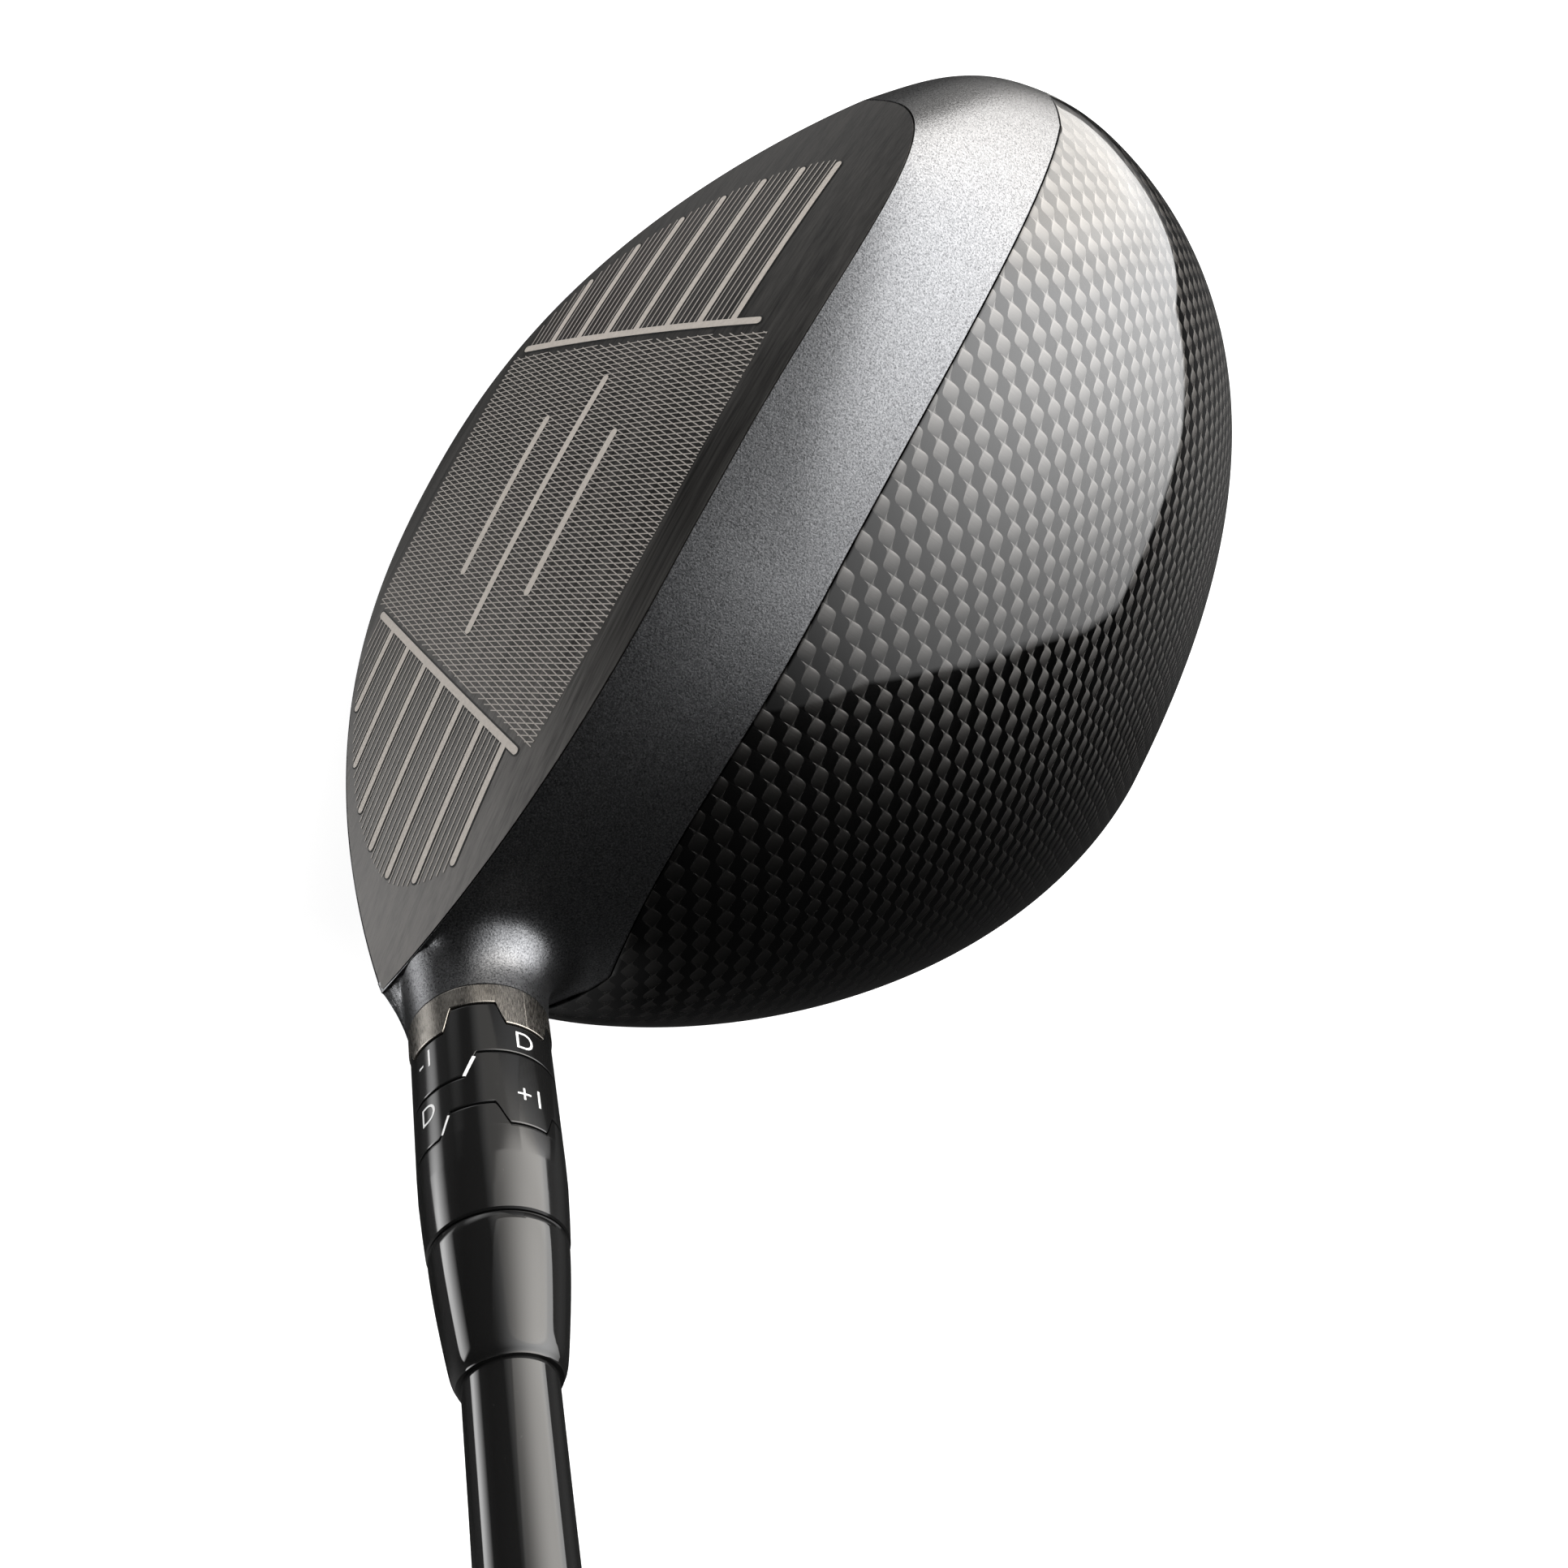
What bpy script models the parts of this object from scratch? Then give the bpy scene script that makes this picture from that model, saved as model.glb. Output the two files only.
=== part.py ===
"""A golf driver: a hollow 460 cc class head, an adjustable hosel with two indexing cogs, a graphite shaft and a grip.

The frame: +X from the toe to the heel, +Y from the face to the back of the head, +Z up. The ground is z = 0, and
the origin is the point where the sole plate under the middle of the face rests on it. All lengths are in metres.
"""

import math

import bmesh
import bpy
import numpy as np
from mathutils import Matrix, Vector

GAP = 0.0003  # between pieces that touch in the real club
ROUND = 36  # facets around the hosel pieces
BODY_TURNS = 56  # columns around the titanium body
PANEL_STEPS = 16  # points along half of a panel's rim

# The face: a plane laid back by the loft, with equal bulge and roll.
LOFT = math.radians(10.25)
BULGE_RADIUS = 0.307
FACE_ORIGIN = (0.0, -0.018, 0.034)
FACE_CENTRE = (-0.001, 0.007)  # across and up the face, the middle of its outline
FACE_TOE, FACE_HEEL, FACE_TOP, FACE_BOTTOM = 0.0542, 0.0555, 0.0147, 0.0360
FACE_THICK = 0.0026
BODY_THICK = 0.0013

# The head behind the face, as functions of the distance back, y.
REAR_Y = 0.085
TOE_WIDEST_Y, HEEL_WIDEST_Y = 0.020, 0.005
RIDGE_X = -0.015
TOE_REACH, HEEL_REACH = 0.059, 0.066
CROWN_TOP, SOLE_LOW = 0.0605, 0.0006
RIM_TOE, RIM_HEEL, RIM_REAR = 0.036, 0.028, 0.021
CROWN_POWERS, SOLE_POWERS, HEEL_POWER = (2.2, 1.75), (2.4, 1.7), 1.55

# Where the titanium body ends: just behind the topline on the crown, further back on the sole.
CROWN_EDGE_Y, SIDE_EDGE_Y, SOLE_EDGE_Y = 0.0010, 0.0082, 0.0200
RIM_MIDDLE = (-0.012, 0.030)
EDGE_SWEEP = (0.62, 0.97)  # sines of the angles below the rim between which that edge moves back
PANEL_THICK = 0.0012
CROWN_MARGIN, SOLE_MARGIN = 0.0050, 0.0095

# The hosel axis, and places along it counted from the point level with the face origin.
LIE = math.radians(57.48)
HOSEL_POINT = Vector((0.0429, -0.0045, 0.034))
HOSEL_DIR = Vector((math.cos(LIE), 0.0, math.sin(LIE)))
NECK_TOP, COLLAR_TOP, COG_STEP, SLEEVE_FOOT, FERRULE_FOOT, FERRULE_END = 0.0174, 0.0226, 0.0264, 0.0355, 0.0448, 0.0583
TOOTH, STEP = 0.0026, 0.0027
BORE_R, TUBE_R, TUBE_BORE_R, ADAPTER_R, ADAPTER_BORE_R = 0.0062, 0.0060, 0.0054, 0.0052, 0.0044
COLLAR_R, COG_R, SLEEVE_R, FERRULE_R, FERRULE_TIP_R = 0.0071, 0.00695, 0.0069, 0.0064, 0.0049

# The shaft and the grip.
CLUB_LENGTH = 1.156
BUTT = CLUB_LENGTH - HOSEL_POINT.z / math.sin(LIE)
SHAFT_TIP, SHAFT_TIP_R, SHAFT_BUTT_R, SHAFT_WALL = 0.004, 0.0042, 0.0076, 0.0011
GRIP_LENGTH, GRIP_MOUTH_R, GRIP_BUTT_R = 0.267, 0.0092, 0.0133

# The two weights in the sole: the centre of each outer face, and the direction that it faces.
FRONT_WEIGHT = (Vector((0.0, 0.006, 0.0)), Vector((0.0, 0.0, -1.0)))
REAR_TILT = math.radians(21.5)
REAR_WEIGHT = (Vector((-0.015, 0.067, 0.0118)), Vector((0.0, math.sin(REAR_TILT), -math.cos(REAR_TILT))))
WEIGHT_R, WEIGHT_DEEP, PORT_WALL, PORT_FLOOR = 0.0080, 0.0066, 0.0012, 0.0018
SCREW_HEAD_R, SCREW_HEAD_DEEP, SCREW_R = 0.0038, 0.0028, 0.0021

MATERIALS = {
    "face": ((0.045, 0.044, 0.045), 0.35, 1.0),
    "paint": ((0.10, 0.13, 0.17), 0.20, 0.6),
    "carbon": ((0.012, 0.012, 0.014), 0.12, 0.0),
    "skirt": ((0.010, 0.010, 0.012), 0.20, 0.0),
    "titanium": ((0.48, 0.46, 0.43), 0.34, 1.0),
    "aluminium": ((0.70, 0.71, 0.72), 0.35, 1.0),
    "black_gloss": ((0.008, 0.008, 0.009), 0.14, 0.0),
    "steel": ((0.42, 0.42, 0.43), 0.30, 1.0),
    "tungsten": ((0.20, 0.20, 0.21), 0.38, 1.0),
    "graphite": ((0.010, 0.010, 0.012), 0.10, 0.0),
    "rubber": ((0.020, 0.020, 0.021), 0.75, 0.0),
    "fabric_tape": ((0.62, 0.60, 0.54), 0.85, 0.0),
}


def clear_scene():
    for obj in list(bpy.data.objects):
        bpy.data.objects.remove(obj, do_unlink=True)


def material(name):
    made = bpy.data.materials.get(name)
    if made:
        return made
    color, roughness, metallic = MATERIALS[name]
    made = bpy.data.materials.new(name)
    made.use_nodes = True
    shader = made.node_tree.nodes["Principled BSDF"]
    shader.inputs["Base Color"].default_value = (*color, 1.0)
    shader.inputs["Roughness"].default_value = roughness
    shader.inputs["Metallic"].default_value = metallic
    return made


def make_object(name, points, faces, slot, parent=None, sharp=35):
    """An object from points in world space. Its mesh is moved into the parent empty's frame."""
    mesh = bpy.data.meshes.new(name)
    mesh.from_pydata([tuple(map(float, p)) for p in points], [], [tuple(map(int, f)) for f in faces])
    shape = bmesh.new()
    shape.from_mesh(mesh)
    bmesh.ops.remove_doubles(shape, verts=shape.verts, dist=1e-6)
    bmesh.ops.recalc_face_normals(shape, faces=shape.faces)
    shape.to_mesh(mesh)
    shape.free()
    mesh.materials.append(material(slot))
    mesh.shade_smooth()
    mesh.set_sharp_from_angle(angle=math.radians(sharp))
    obj = bpy.data.objects.new(name, mesh)
    bpy.context.scene.collection.objects.link(obj)
    if parent:
        mesh.transform(parent.matrix_world.inverted())
        obj.parent = parent
    return obj


def empty(name, place, parent=None):
    """An empty on a joint's axis, which the moving piece hangs from. place is its world matrix."""
    obj = bpy.data.objects.new(name, None)
    bpy.context.scene.collection.objects.link(obj)
    obj.parent = parent
    if parent:
        obj.matrix_parent_inverse = parent.matrix_world.inverted()
    obj.matrix_world = place
    bpy.context.view_layer.update()
    return obj


def axis_matrix(point, direction):
    """A frame at point with its Z along direction."""
    return Matrix.Translation(point) @ direction.to_track_quat("Z", "Y").to_matrix().to_4x4()


def boolean(obj, other, operation):
    """Cuts or joins at once, so that the other shape can go."""
    modifier = obj.modifiers.new("shape", "BOOLEAN")
    modifier.object = other
    modifier.operation = operation
    modifier.use_self = operation == "UNION"
    bpy.context.view_layer.update()
    graph = bpy.context.evaluated_depsgraph_get()
    result = bpy.data.meshes.new_from_object(obj.evaluated_get(graph))
    obj.modifiers.clear()
    old = obj.data
    obj.data = result
    bpy.data.meshes.remove(old)
    bpy.data.objects.remove(other, do_unlink=True)


# ---- The hosel frame -----------------------------------------------------------------------------------------

HOSEL_E1 = Vector((-math.sin(LIE), 0.0, math.cos(LIE)))  # towards the crown side
HOSEL_E2 = Vector((0.0, -1.0, 0.0))  # towards the face side


def hosel_at(s, r=0.0, angle=0.0):
    """The point s along the hosel axis, r out from it, at an angle from the crown side towards the face side."""
    return HOSEL_POINT + HOSEL_DIR * s + (HOSEL_E1 * math.cos(angle) + HOSEL_E2 * math.sin(angle)) * r


def turned(name, profile, slot, place, parent=None, count=ROUND):
    """A solid of revolution. profile is a closed loop of (r, h): h along the axis place, a world matrix with Z on it."""
    points, faces = [], []
    rows = len(profile)
    for k in range(count):
        turn = 2 * math.pi * k / count
        for r, h in profile:
            points.append(place @ Vector((r * math.cos(turn), r * math.sin(turn), h)))
    for k in range(count):
        after = (k + 1) % count
        for j in range(rows):
            step = (j + 1) % rows
            if profile[j][0] < 1e-9 and profile[step][0] < 1e-9:
                continue
            faces.append((k * rows + j, after * rows + j, after * rows + step, k * rows + step))
    return make_object(name, points, faces, slot, parent)


def smooth_wave(angle, period, low_from, low_to, flank):
    """0 between low_from and low_to degrees, 1 in the rest of the period, with straight flanks."""
    turn = (angle - low_from) % period
    width = low_to - low_from
    if turn <= width:
        return 0.0
    return min(1.0, (turn - width) / flank, (period - turn) / flank)


def notch(angle):
    """The collar's four notches, which the lower cog's tongues fill."""
    return COLLAR_TOP - TOOTH * (1 - smooth_wave(angle, 90, 26, 62, 8))


def step_line(angle):
    """The seam between the cogs: two low quarters and two high ones."""
    return COG_STEP + STEP * smooth_wave(angle, 180, -46, 44, 11)


def ring(name, inner, outer, low, high, slot, parent=None):
    """A ring about the hosel axis, whose two ends follow low(angle) and high(angle), with angles in degrees."""
    turns = sorted({float(a) for a in range(0, 360, 8)} | {
        float((a + q) % 360) for q in range(0, 360, 90) for a in (18, 26, 62, 70, -46, 44, 55, -57)
    })
    points, faces = [], []
    for turn in turns:
        angle = math.radians(turn)
        points += [hosel_at(low(turn), inner, angle), hosel_at(low(turn), outer, angle)]
        points += [hosel_at(high(turn), outer, angle), hosel_at(high(turn), inner, angle)]
    for k in range(len(turns)):
        after = (k + 1) % len(turns)
        for j in range(4):
            faces.append((k * 4 + j, after * 4 + j, after * 4 + (j + 1) % 4, k * 4 + (j + 1) % 4))
    return make_object(name, points, faces, slot, parent)


# ---- The head's surface --------------------------------------------------------------------------------------


def face_point(across, up):
    """A point on the bulged face."""
    sag = (across * across + up * up) / (2 * BULGE_RADIUS)
    return np.array([
        FACE_ORIGIN[0] + across,
        FACE_ORIGIN[1] + up * math.sin(LOFT) + sag * math.cos(LOFT),
        FACE_ORIGIN[2] + up * math.cos(LOFT) - sag * math.sin(LOFT),
    ])


def quarter_powers(turn):
    """The superellipse powers of the face outline's four quarters: heel top, toe top, toe bottom, heel bottom."""
    powers = ((2.3, 1.0), (6.0, 3.0), (2.2, 1.05), (2.4, 1.05))
    return powers[int((turn % (2 * math.pi)) // (math.pi / 2)) % 4]


def face_outline(turn):
    """Across and up the face at an angle around its outline: 0 is the heel, a quarter turn is the top."""
    wide, tall = quarter_powers(turn)
    c, s = math.cos(turn), math.sin(turn)
    across = FACE_HEEL if c > 0 else FACE_TOE
    up = FACE_TOP if s > 0 else FACE_BOTTOM
    return np.array([
        FACE_CENTRE[0] + math.copysign(across * abs(c) ** (2 / wide), c),
        FACE_CENTRE[1] + math.copysign(up * abs(s) ** (2 / tall), s),
    ])


def inset_outline(turn, inset):
    """The face outline moved inwards by an even distance. The pointed heel end moves back twice as far."""
    along = face_outline(turn + 0.01) - face_outline(turn - 0.01)
    along /= np.linalg.norm(along)
    moved = face_outline(turn) + inset * np.array([-along[1], along[0]])
    tip = face_outline(0.0) - (2 * inset, 0.0)
    return tip if moved[0] > tip[0] else moved


def toe_x(y):
    """The toe side of the rim."""
    if y < TOE_WIDEST_Y:
        return RIDGE_X - TOE_REACH + 0.0175 * ((TOE_WIDEST_Y - y) / 0.032) ** 2.2
    t = min(1.0, (y - TOE_WIDEST_Y) / (REAR_Y - TOE_WIDEST_Y))
    return RIDGE_X - TOE_REACH * math.sqrt(1 - t * t)


def heel_x(y):
    """The heel side of the rim."""
    t = min(1.0, max(0.0, y - HEEL_WIDEST_Y) / (REAR_Y - HEEL_WIDEST_Y))
    return RIDGE_X + HEEL_REACH * (1 - t**HEEL_POWER) ** (1 / HEEL_POWER)


def ridge_x(y):
    """The line where the crown is highest."""
    return -0.003 - 0.012 * min(1.0, max(0.0, y / REAR_Y))


def crown_line(y):
    return CROWN_TOP - (CROWN_TOP - RIM_REAR) * ((y - 0.012) / (REAR_Y - 0.012)) ** 2


def sole_line(y):
    if y < 0.005:
        return SOLE_LOW + 0.0047 * ((0.005 - y) / 0.028) ** 2.2
    return SOLE_LOW + (RIM_REAR - SOLE_LOW) * ((y - 0.005) / (REAR_Y - 0.005)) ** 2


def rim_z(y, toe):
    if toe:
        return RIM_TOE - (RIM_TOE - RIM_REAR) * (max(0.0, y - TOE_WIDEST_Y) / (REAR_Y - TOE_WIDEST_Y)) ** 2
    return RIM_HEEL - (RIM_HEEL - RIM_REAR) * (max(0.0, y - HEEL_WIDEST_Y) / (REAR_Y - HEEL_WIDEST_Y)) ** 2


def height(x, y, top):
    """The crown's or the sole's height over the point (x, y)."""
    ridge = ridge_x(y)
    toe = x < ridge
    reach = max(1e-6, ridge - toe_x(y) if toe else heel_x(y) - ridge)
    wide, tall = CROWN_POWERS if top else SOLE_POWERS
    part = max(0.0, 1 - min(1.0, abs(x - ridge) / reach) ** wide) ** (1 / tall)
    rim = rim_z(y, toe)
    return rim + ((crown_line(y) if top else sole_line(y)) - rim) * part


def outward_at(x, y, top):
    """The outward normal of the crown or the sole over the point (x, y)."""
    step = 2e-4
    along = (height(x + step, y, top) - height(x - step, y, top)) / (2 * step)
    back = (height(x, y + step, top) - height(x, y - step, top)) / (2 * step)
    normal = np.array([-along, -back, 1.0]) if top else np.array([along, back, -1.0])
    return normal / np.linalg.norm(normal)


def section(y, turn):
    """A point of the head's cross-section at y: turn 0 is the heel, a quarter turn is the crown's ridge."""
    c, s = math.cos(turn), math.sin(turn)
    wide, tall = CROWN_POWERS if s > 0 else SOLE_POWERS
    ridge = ridge_x(y)
    side = heel_x(y) - ridge if c > 0 else ridge - toe_x(y)
    rim = rim_z(y, c < 0)
    line = crown_line(y) if s > 0 else sole_line(y)
    return np.array([
        ridge + math.copysign(side * abs(c) ** (2 / wide), c),
        y,
        rim + (line - rim) * abs(s) ** (2 / tall),
    ])


def edge_y(turn):
    """Where the titanium body ends, at an angle around the cross-section: it reaches further back under the sole."""
    c, s = math.cos(turn), math.sin(turn)
    if s > 0:
        side = (c / 0.82) ** 3.8 if c > 0 else (-c / 0.90) ** 1.8
        return CROWN_EDGE_Y + (SIDE_EDGE_Y - CROWN_EDGE_Y) * min(1.0, side)
    low = min(1.0, max(0.0, (-s - EDGE_SWEEP[0]) / (EDGE_SWEEP[1] - EDGE_SWEEP[0])))
    return SIDE_EDGE_Y + (SOLE_EDGE_Y - SIDE_EDGE_Y) * low * low * (3 - 2 * low)


def band_point(turn, t):
    """The body between the face outline, t = 0, and its rear edge, t = 1."""
    across, up = face_outline(turn)
    start = face_point(across, up)
    y = edge_y(turn)
    end = section(y, turn)
    chord = np.linalg.norm(end - start)
    outward = np.array([math.cos(turn), 0.0, math.sin(turn) * 0.6])
    leave = (end - start) + 0.30 * chord * outward
    arrive = (section(y + 1e-4, turn) - section(y - 1e-4, turn)) / 2e-4 * chord
    h00, h10 = 2 * t**3 - 3 * t**2 + 1, t**3 - 2 * t**2 + t
    h01, h11 = -2 * t**3 + 3 * t**2, t**3 - t**2
    return h00 * start + h10 * leave + h01 * end + h11 * arrive


def grid_normals(grid, closed):
    """Outward normals of a grid of points, from its neighbours."""
    along = np.gradient(grid, axis=0)
    around = (np.roll(grid, -1, 1) - np.roll(grid, 1, 1)) / 2 if closed else np.gradient(grid, axis=1)
    normal = np.cross(along, around)
    length = np.linalg.norm(normal, axis=2, keepdims=True)
    return normal / np.maximum(length, 1e-12)


def slab(name, grid, thick, slot, closed=False, parent=None):
    """A shell of even thickness under a grid of surface points, closed into a ring if asked."""
    normal = grid_normals(grid, closed)
    middle = np.array([-0.01, 0.02, 0.03])
    if np.sum(normal * (grid - middle)) < 0:
        normal = -normal
    rows, columns = grid.shape[:2]
    points = np.concatenate([grid.reshape(-1, 3), (grid - thick * normal).reshape(-1, 3)])
    under = rows * columns
    faces = []
    for i in range(rows - 1):
        for j in range(columns if closed else columns - 1):
            k = (j + 1) % columns
            quad = (i * columns + j, i * columns + k, (i + 1) * columns + k, (i + 1) * columns + j)
            faces += [quad, tuple(under + v for v in reversed(quad))]
    for i in (0, rows - 1):
        for j in range(columns if closed else columns - 1):
            k = (j + 1) % columns
            faces.append((i * columns + j, under + i * columns + j, under + i * columns + k, i * columns + k))
    if not closed:
        for j in (0, columns - 1):
            for i in range(rows - 1):
                a, b = i * columns + j, (i + 1) * columns + j
                faces.append((a, b, under + b, under + a))
    return make_object(name, points, faces, slot, parent)


def rim_points(count, inset, front):
    """The plan of the rim from the heel round the back to the toe, inset towards the middle."""
    found = []
    for k in range(-count, count + 1):
        swing = math.cos(math.pi / 2 * k / count)
        y = front + (REAR_Y - front) * swing
        x = heel_x(y) if k < 0 else toe_x(y)
        if k == 0:
            x = RIDGE_X
        inward = np.array([RIM_MIDDLE[0] - x, min(0.0, RIM_MIDDLE[1] - y)])
        found.append(np.array([x, y]) + inset * inward / np.linalg.norm(inward))
    return found


def disc_panel(name, outline, top, thick, slot, parent, rings=4):
    """A panel of the crown or the sole, as rings of points from its middle out to its outline."""
    middle = np.mean(outline, axis=0)
    rows = []
    for k in range(rings + 1):
        part = 0.04 + 0.96 * k / rings
        plan = [middle + part * (p - middle) for p in outline]
        rows.append([(x, y, height(x, y, top)) for x, y in plan])
    grid = np.array(rows)
    normal = np.array([[outward_at(x, y, top) for x, y, _ in row] for row in rows])
    count, columns = grid.shape[:2]
    points = np.concatenate([grid.reshape(-1, 3), (grid - thick * normal).reshape(-1, 3)])
    under = count * columns
    faces = [tuple(range(columns)), tuple(under + j for j in reversed(range(columns)))]
    for i in range(count - 1):
        for j in range(columns):
            k = (j + 1) % columns
            quad = (i * columns + j, i * columns + k, (i + 1) * columns + k, (i + 1) * columns + j)
            faces += [quad, tuple(under + v for v in reversed(quad))]
    last = (count - 1) * columns
    for j in range(columns):
        k = (j + 1) % columns
        faces.append((last + j, under + last + j, under + last + k, last + k))
    return make_object(name, points, faces, slot, parent)


# ---- The head's pieces ---------------------------------------------------------------------------------------


def head_body(parent):
    """The cast titanium body: the band behind the face, the front of the sole and the hosel neck, in one piece."""
    turns = [2 * math.pi * k / BODY_TURNS for k in range(BODY_TURNS)]
    grid = np.array([[band_point(turn, t) for turn in turns] for t in np.linspace(0, 1, 7)])
    body = slab("titanium_body", grid, BODY_THICK, "paint", closed=True, parent=parent)
    place = axis_matrix(HOSEL_POINT, HOSEL_DIR)
    flare = [(COLLAR_R - 0.0001, NECK_TOP), (0.0073, 0.0130), (0.0078, 0.0090), (0.0084, 0.0060), (0.0, 0.0060)]
    neck = turned("neck", [(0.0, NECK_TOP)] + flare, "paint", place, parent)
    boolean(body, neck, "UNION")
    bore = turned("bore", [(0.0, 0.03), (BORE_R, 0.03), (BORE_R, -0.06), (0.0, -0.06)], "paint", place, parent)
    boolean(body, bore, "DIFFERENCE")
    point, facing = FRONT_WEIGHT
    port_r = WEIGHT_R + GAP + PORT_WALL + GAP
    hole = [(0.0, 0.01), (port_r, 0.01), (port_r, -0.02), (0.0, -0.02)]
    boolean(body, turned("hole", hole, "paint", axis_matrix(point, facing), parent), "DIFFERENCE")
    return body


def face_plate(parent):
    """The forged titanium face, inside the body's front rim, trimmed clear of the neck."""
    inset = BODY_THICK + GAP
    rings, columns = 4, BODY_TURNS
    rows = []
    for part in np.linspace(0.04, 1, rings):
        row = []
        for k in range(columns):
            across, up = inset_outline(2 * math.pi * (k + 0.5) / columns, inset)
            row.append(face_point(
                FACE_CENTRE[0] + part * (across - FACE_CENTRE[0]), FACE_CENTRE[1] + part * (up - FACE_CENTRE[1])
            ))
        rows.append(row)
    grid = np.array(rows)
    back = np.array([0.0, math.cos(LOFT), -math.sin(LOFT)]) * FACE_THICK
    points = np.concatenate([grid.reshape(-1, 3), (grid + back).reshape(-1, 3)])
    under = rings * columns
    faces = [tuple(range(columns)), tuple(under + j for j in reversed(range(columns)))]
    for i in range(rings - 1):
        for j in range(columns):
            k = (j + 1) % columns
            quad = (i * columns + j, i * columns + k, (i + 1) * columns + k, (i + 1) * columns + j)
            faces += [quad, tuple(under + v for v in reversed(quad))]
    last = (rings - 1) * columns
    for j in range(columns):
        k = (j + 1) % columns
        faces.append((last + j, under + last + j, under + last + k, last + k))
    plate = make_object("face_plate", points, faces, "face", parent)
    trim = [(0.0, 0.03), (0.0084 + GAP, 0.03), (0.0084 + GAP, -0.06), (0.0, -0.06)]
    boolean(plate, turned("trim", trim, "face", axis_matrix(HOSEL_POINT, HOSEL_DIR)), "DIFFERENCE")
    return plate


def body_edge(rim, top):
    """The plan of the body's rear edge from the toe to the heel, a little behind it, between the ends of a rim."""
    turns = [2 * math.pi * k / BODY_TURNS for k in range(BODY_TURNS)]
    turns = [turn for turn in reversed(turns) if turn < math.pi] if top else [t for t in turns if t > math.pi]
    found = [section(edge_y(turn), turn)[:2] + (0.0, (3 if top else 4) * GAP) for turn in turns]
    return [p for p in found if rim[-1][0] + GAP < p[0] < rim[0][0] - GAP]


def crown_panel(parent):
    rim = rim_points(PANEL_STEPS, CROWN_MARGIN, SIDE_EDGE_Y + 3 * GAP)
    outline = rim + body_edge(rim, True)
    return disc_panel("crown_panel", outline, True, PANEL_THICK, "carbon", parent)


def sole_panel(parent):
    rim = rim_points(PANEL_STEPS, SOLE_MARGIN, SIDE_EDGE_Y + 3 * GAP)
    outline = rim + body_edge(rim, False)
    panel = disc_panel("sole_panel", outline, False, PANEL_THICK, "carbon", parent)
    point, facing = REAR_WEIGHT
    port_r = WEIGHT_R + GAP + PORT_WALL + GAP
    hole = [(0.0, 0.02), (port_r, 0.02), (port_r, -0.02), (0.0, -0.02)]
    boolean(panel, turned("hole", hole, "carbon", axis_matrix(point, facing)), "DIFFERENCE")
    return panel


def skirt_ring(parent):
    """The rim piece from the heel round the back to the toe, between the crown panel and the sole panel."""
    front = SIDE_EDGE_Y + 2 * GAP
    lines = []
    for part in (1.0, 0.5, 0.15):
        inset = (CROWN_MARGIN - GAP) * part
        lines.append([(x, y, height(x, y, True)) for x, y in rim_points(PANEL_STEPS, inset, front)])
    rim = rim_points(PANEL_STEPS, 0.0, front)
    lines.append([(x, y, rim_z(y, x < ridge_x(y))) for x, y in rim])
    for part in (0.12, 0.5, 1.0):
        inset = (SOLE_MARGIN - GAP) * part
        lines.append([(x, y, height(x, y, False)) for x, y in rim_points(PANEL_STEPS, inset, front)])
    return slab("skirt_ring", np.array(lines), PANEL_THICK, "skirt", parent=parent)


def hosel_pieces(head, bolt):
    place = axis_matrix(HOSEL_POINT, HOSEL_DIR)
    tube = [(TUBE_BORE_R, 0.0196), (TUBE_R, 0.0196), (TUBE_R, -0.0345), (TUBE_BORE_R, -0.0345)]
    turned("hosel_tube", tube, "aluminium", place, head)
    ring("hosel_collar", BORE_R, COLLAR_R, lambda a: NECK_TOP + GAP, notch, "titanium", head)
    seat = [(0.0028, -0.0212), (0.0053, -0.0212), (0.0053, -0.0246), (0.0028, -0.0246)]
    turned("bolt_seat", seat, "steel", place, head)
    keeper = [(0.0034, -0.0322), (0.0053, -0.0322), (0.0053, -0.0336), (0.0034, -0.0336)]
    turned("bolt_keeper", keeper, "steel", place, head)
    washer = [(0.0026, -0.0249), (0.0046, -0.0249), (0.0046, -0.0257), (0.0026, -0.0257)]
    turned("bolt_washer", washer, "steel", place, bolt)
    shank = [(0.0, -0.0008), (0.0019, -0.0008), (0.0023, -0.0014), (0.0023, -0.0260), (0.0043, -0.0260)]
    head_end = [(0.0043, -0.0308), (0.0039, -0.0312), (0.0, -0.0312)]
    screw = turned("hosel_bolt", shank + head_end, "steel", place, bolt)
    boolean(screw, socket(0.0021, place, -0.0316, -0.0288, bolt), "DIFFERENCE")


def socket(radius, place, low, high, parent):
    """A six-lobed driver socket, as a cutter."""
    points, faces, count = [], [], 24
    for h in (low, high):
        for k in range(count):
            turn = 2 * math.pi * k / count
            r = radius * (1 + 0.14 * math.cos(6 * turn))
            points.append(place @ Vector((r * math.cos(turn), r * math.sin(turn), h)))
    faces = [tuple(range(count)), tuple(range(count, 2 * count))]
    faces += [(k, (k + 1) % count, count + (k + 1) % count, count + k) for k in range(count)]
    return make_object("socket", points, faces, "steel", parent)


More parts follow.
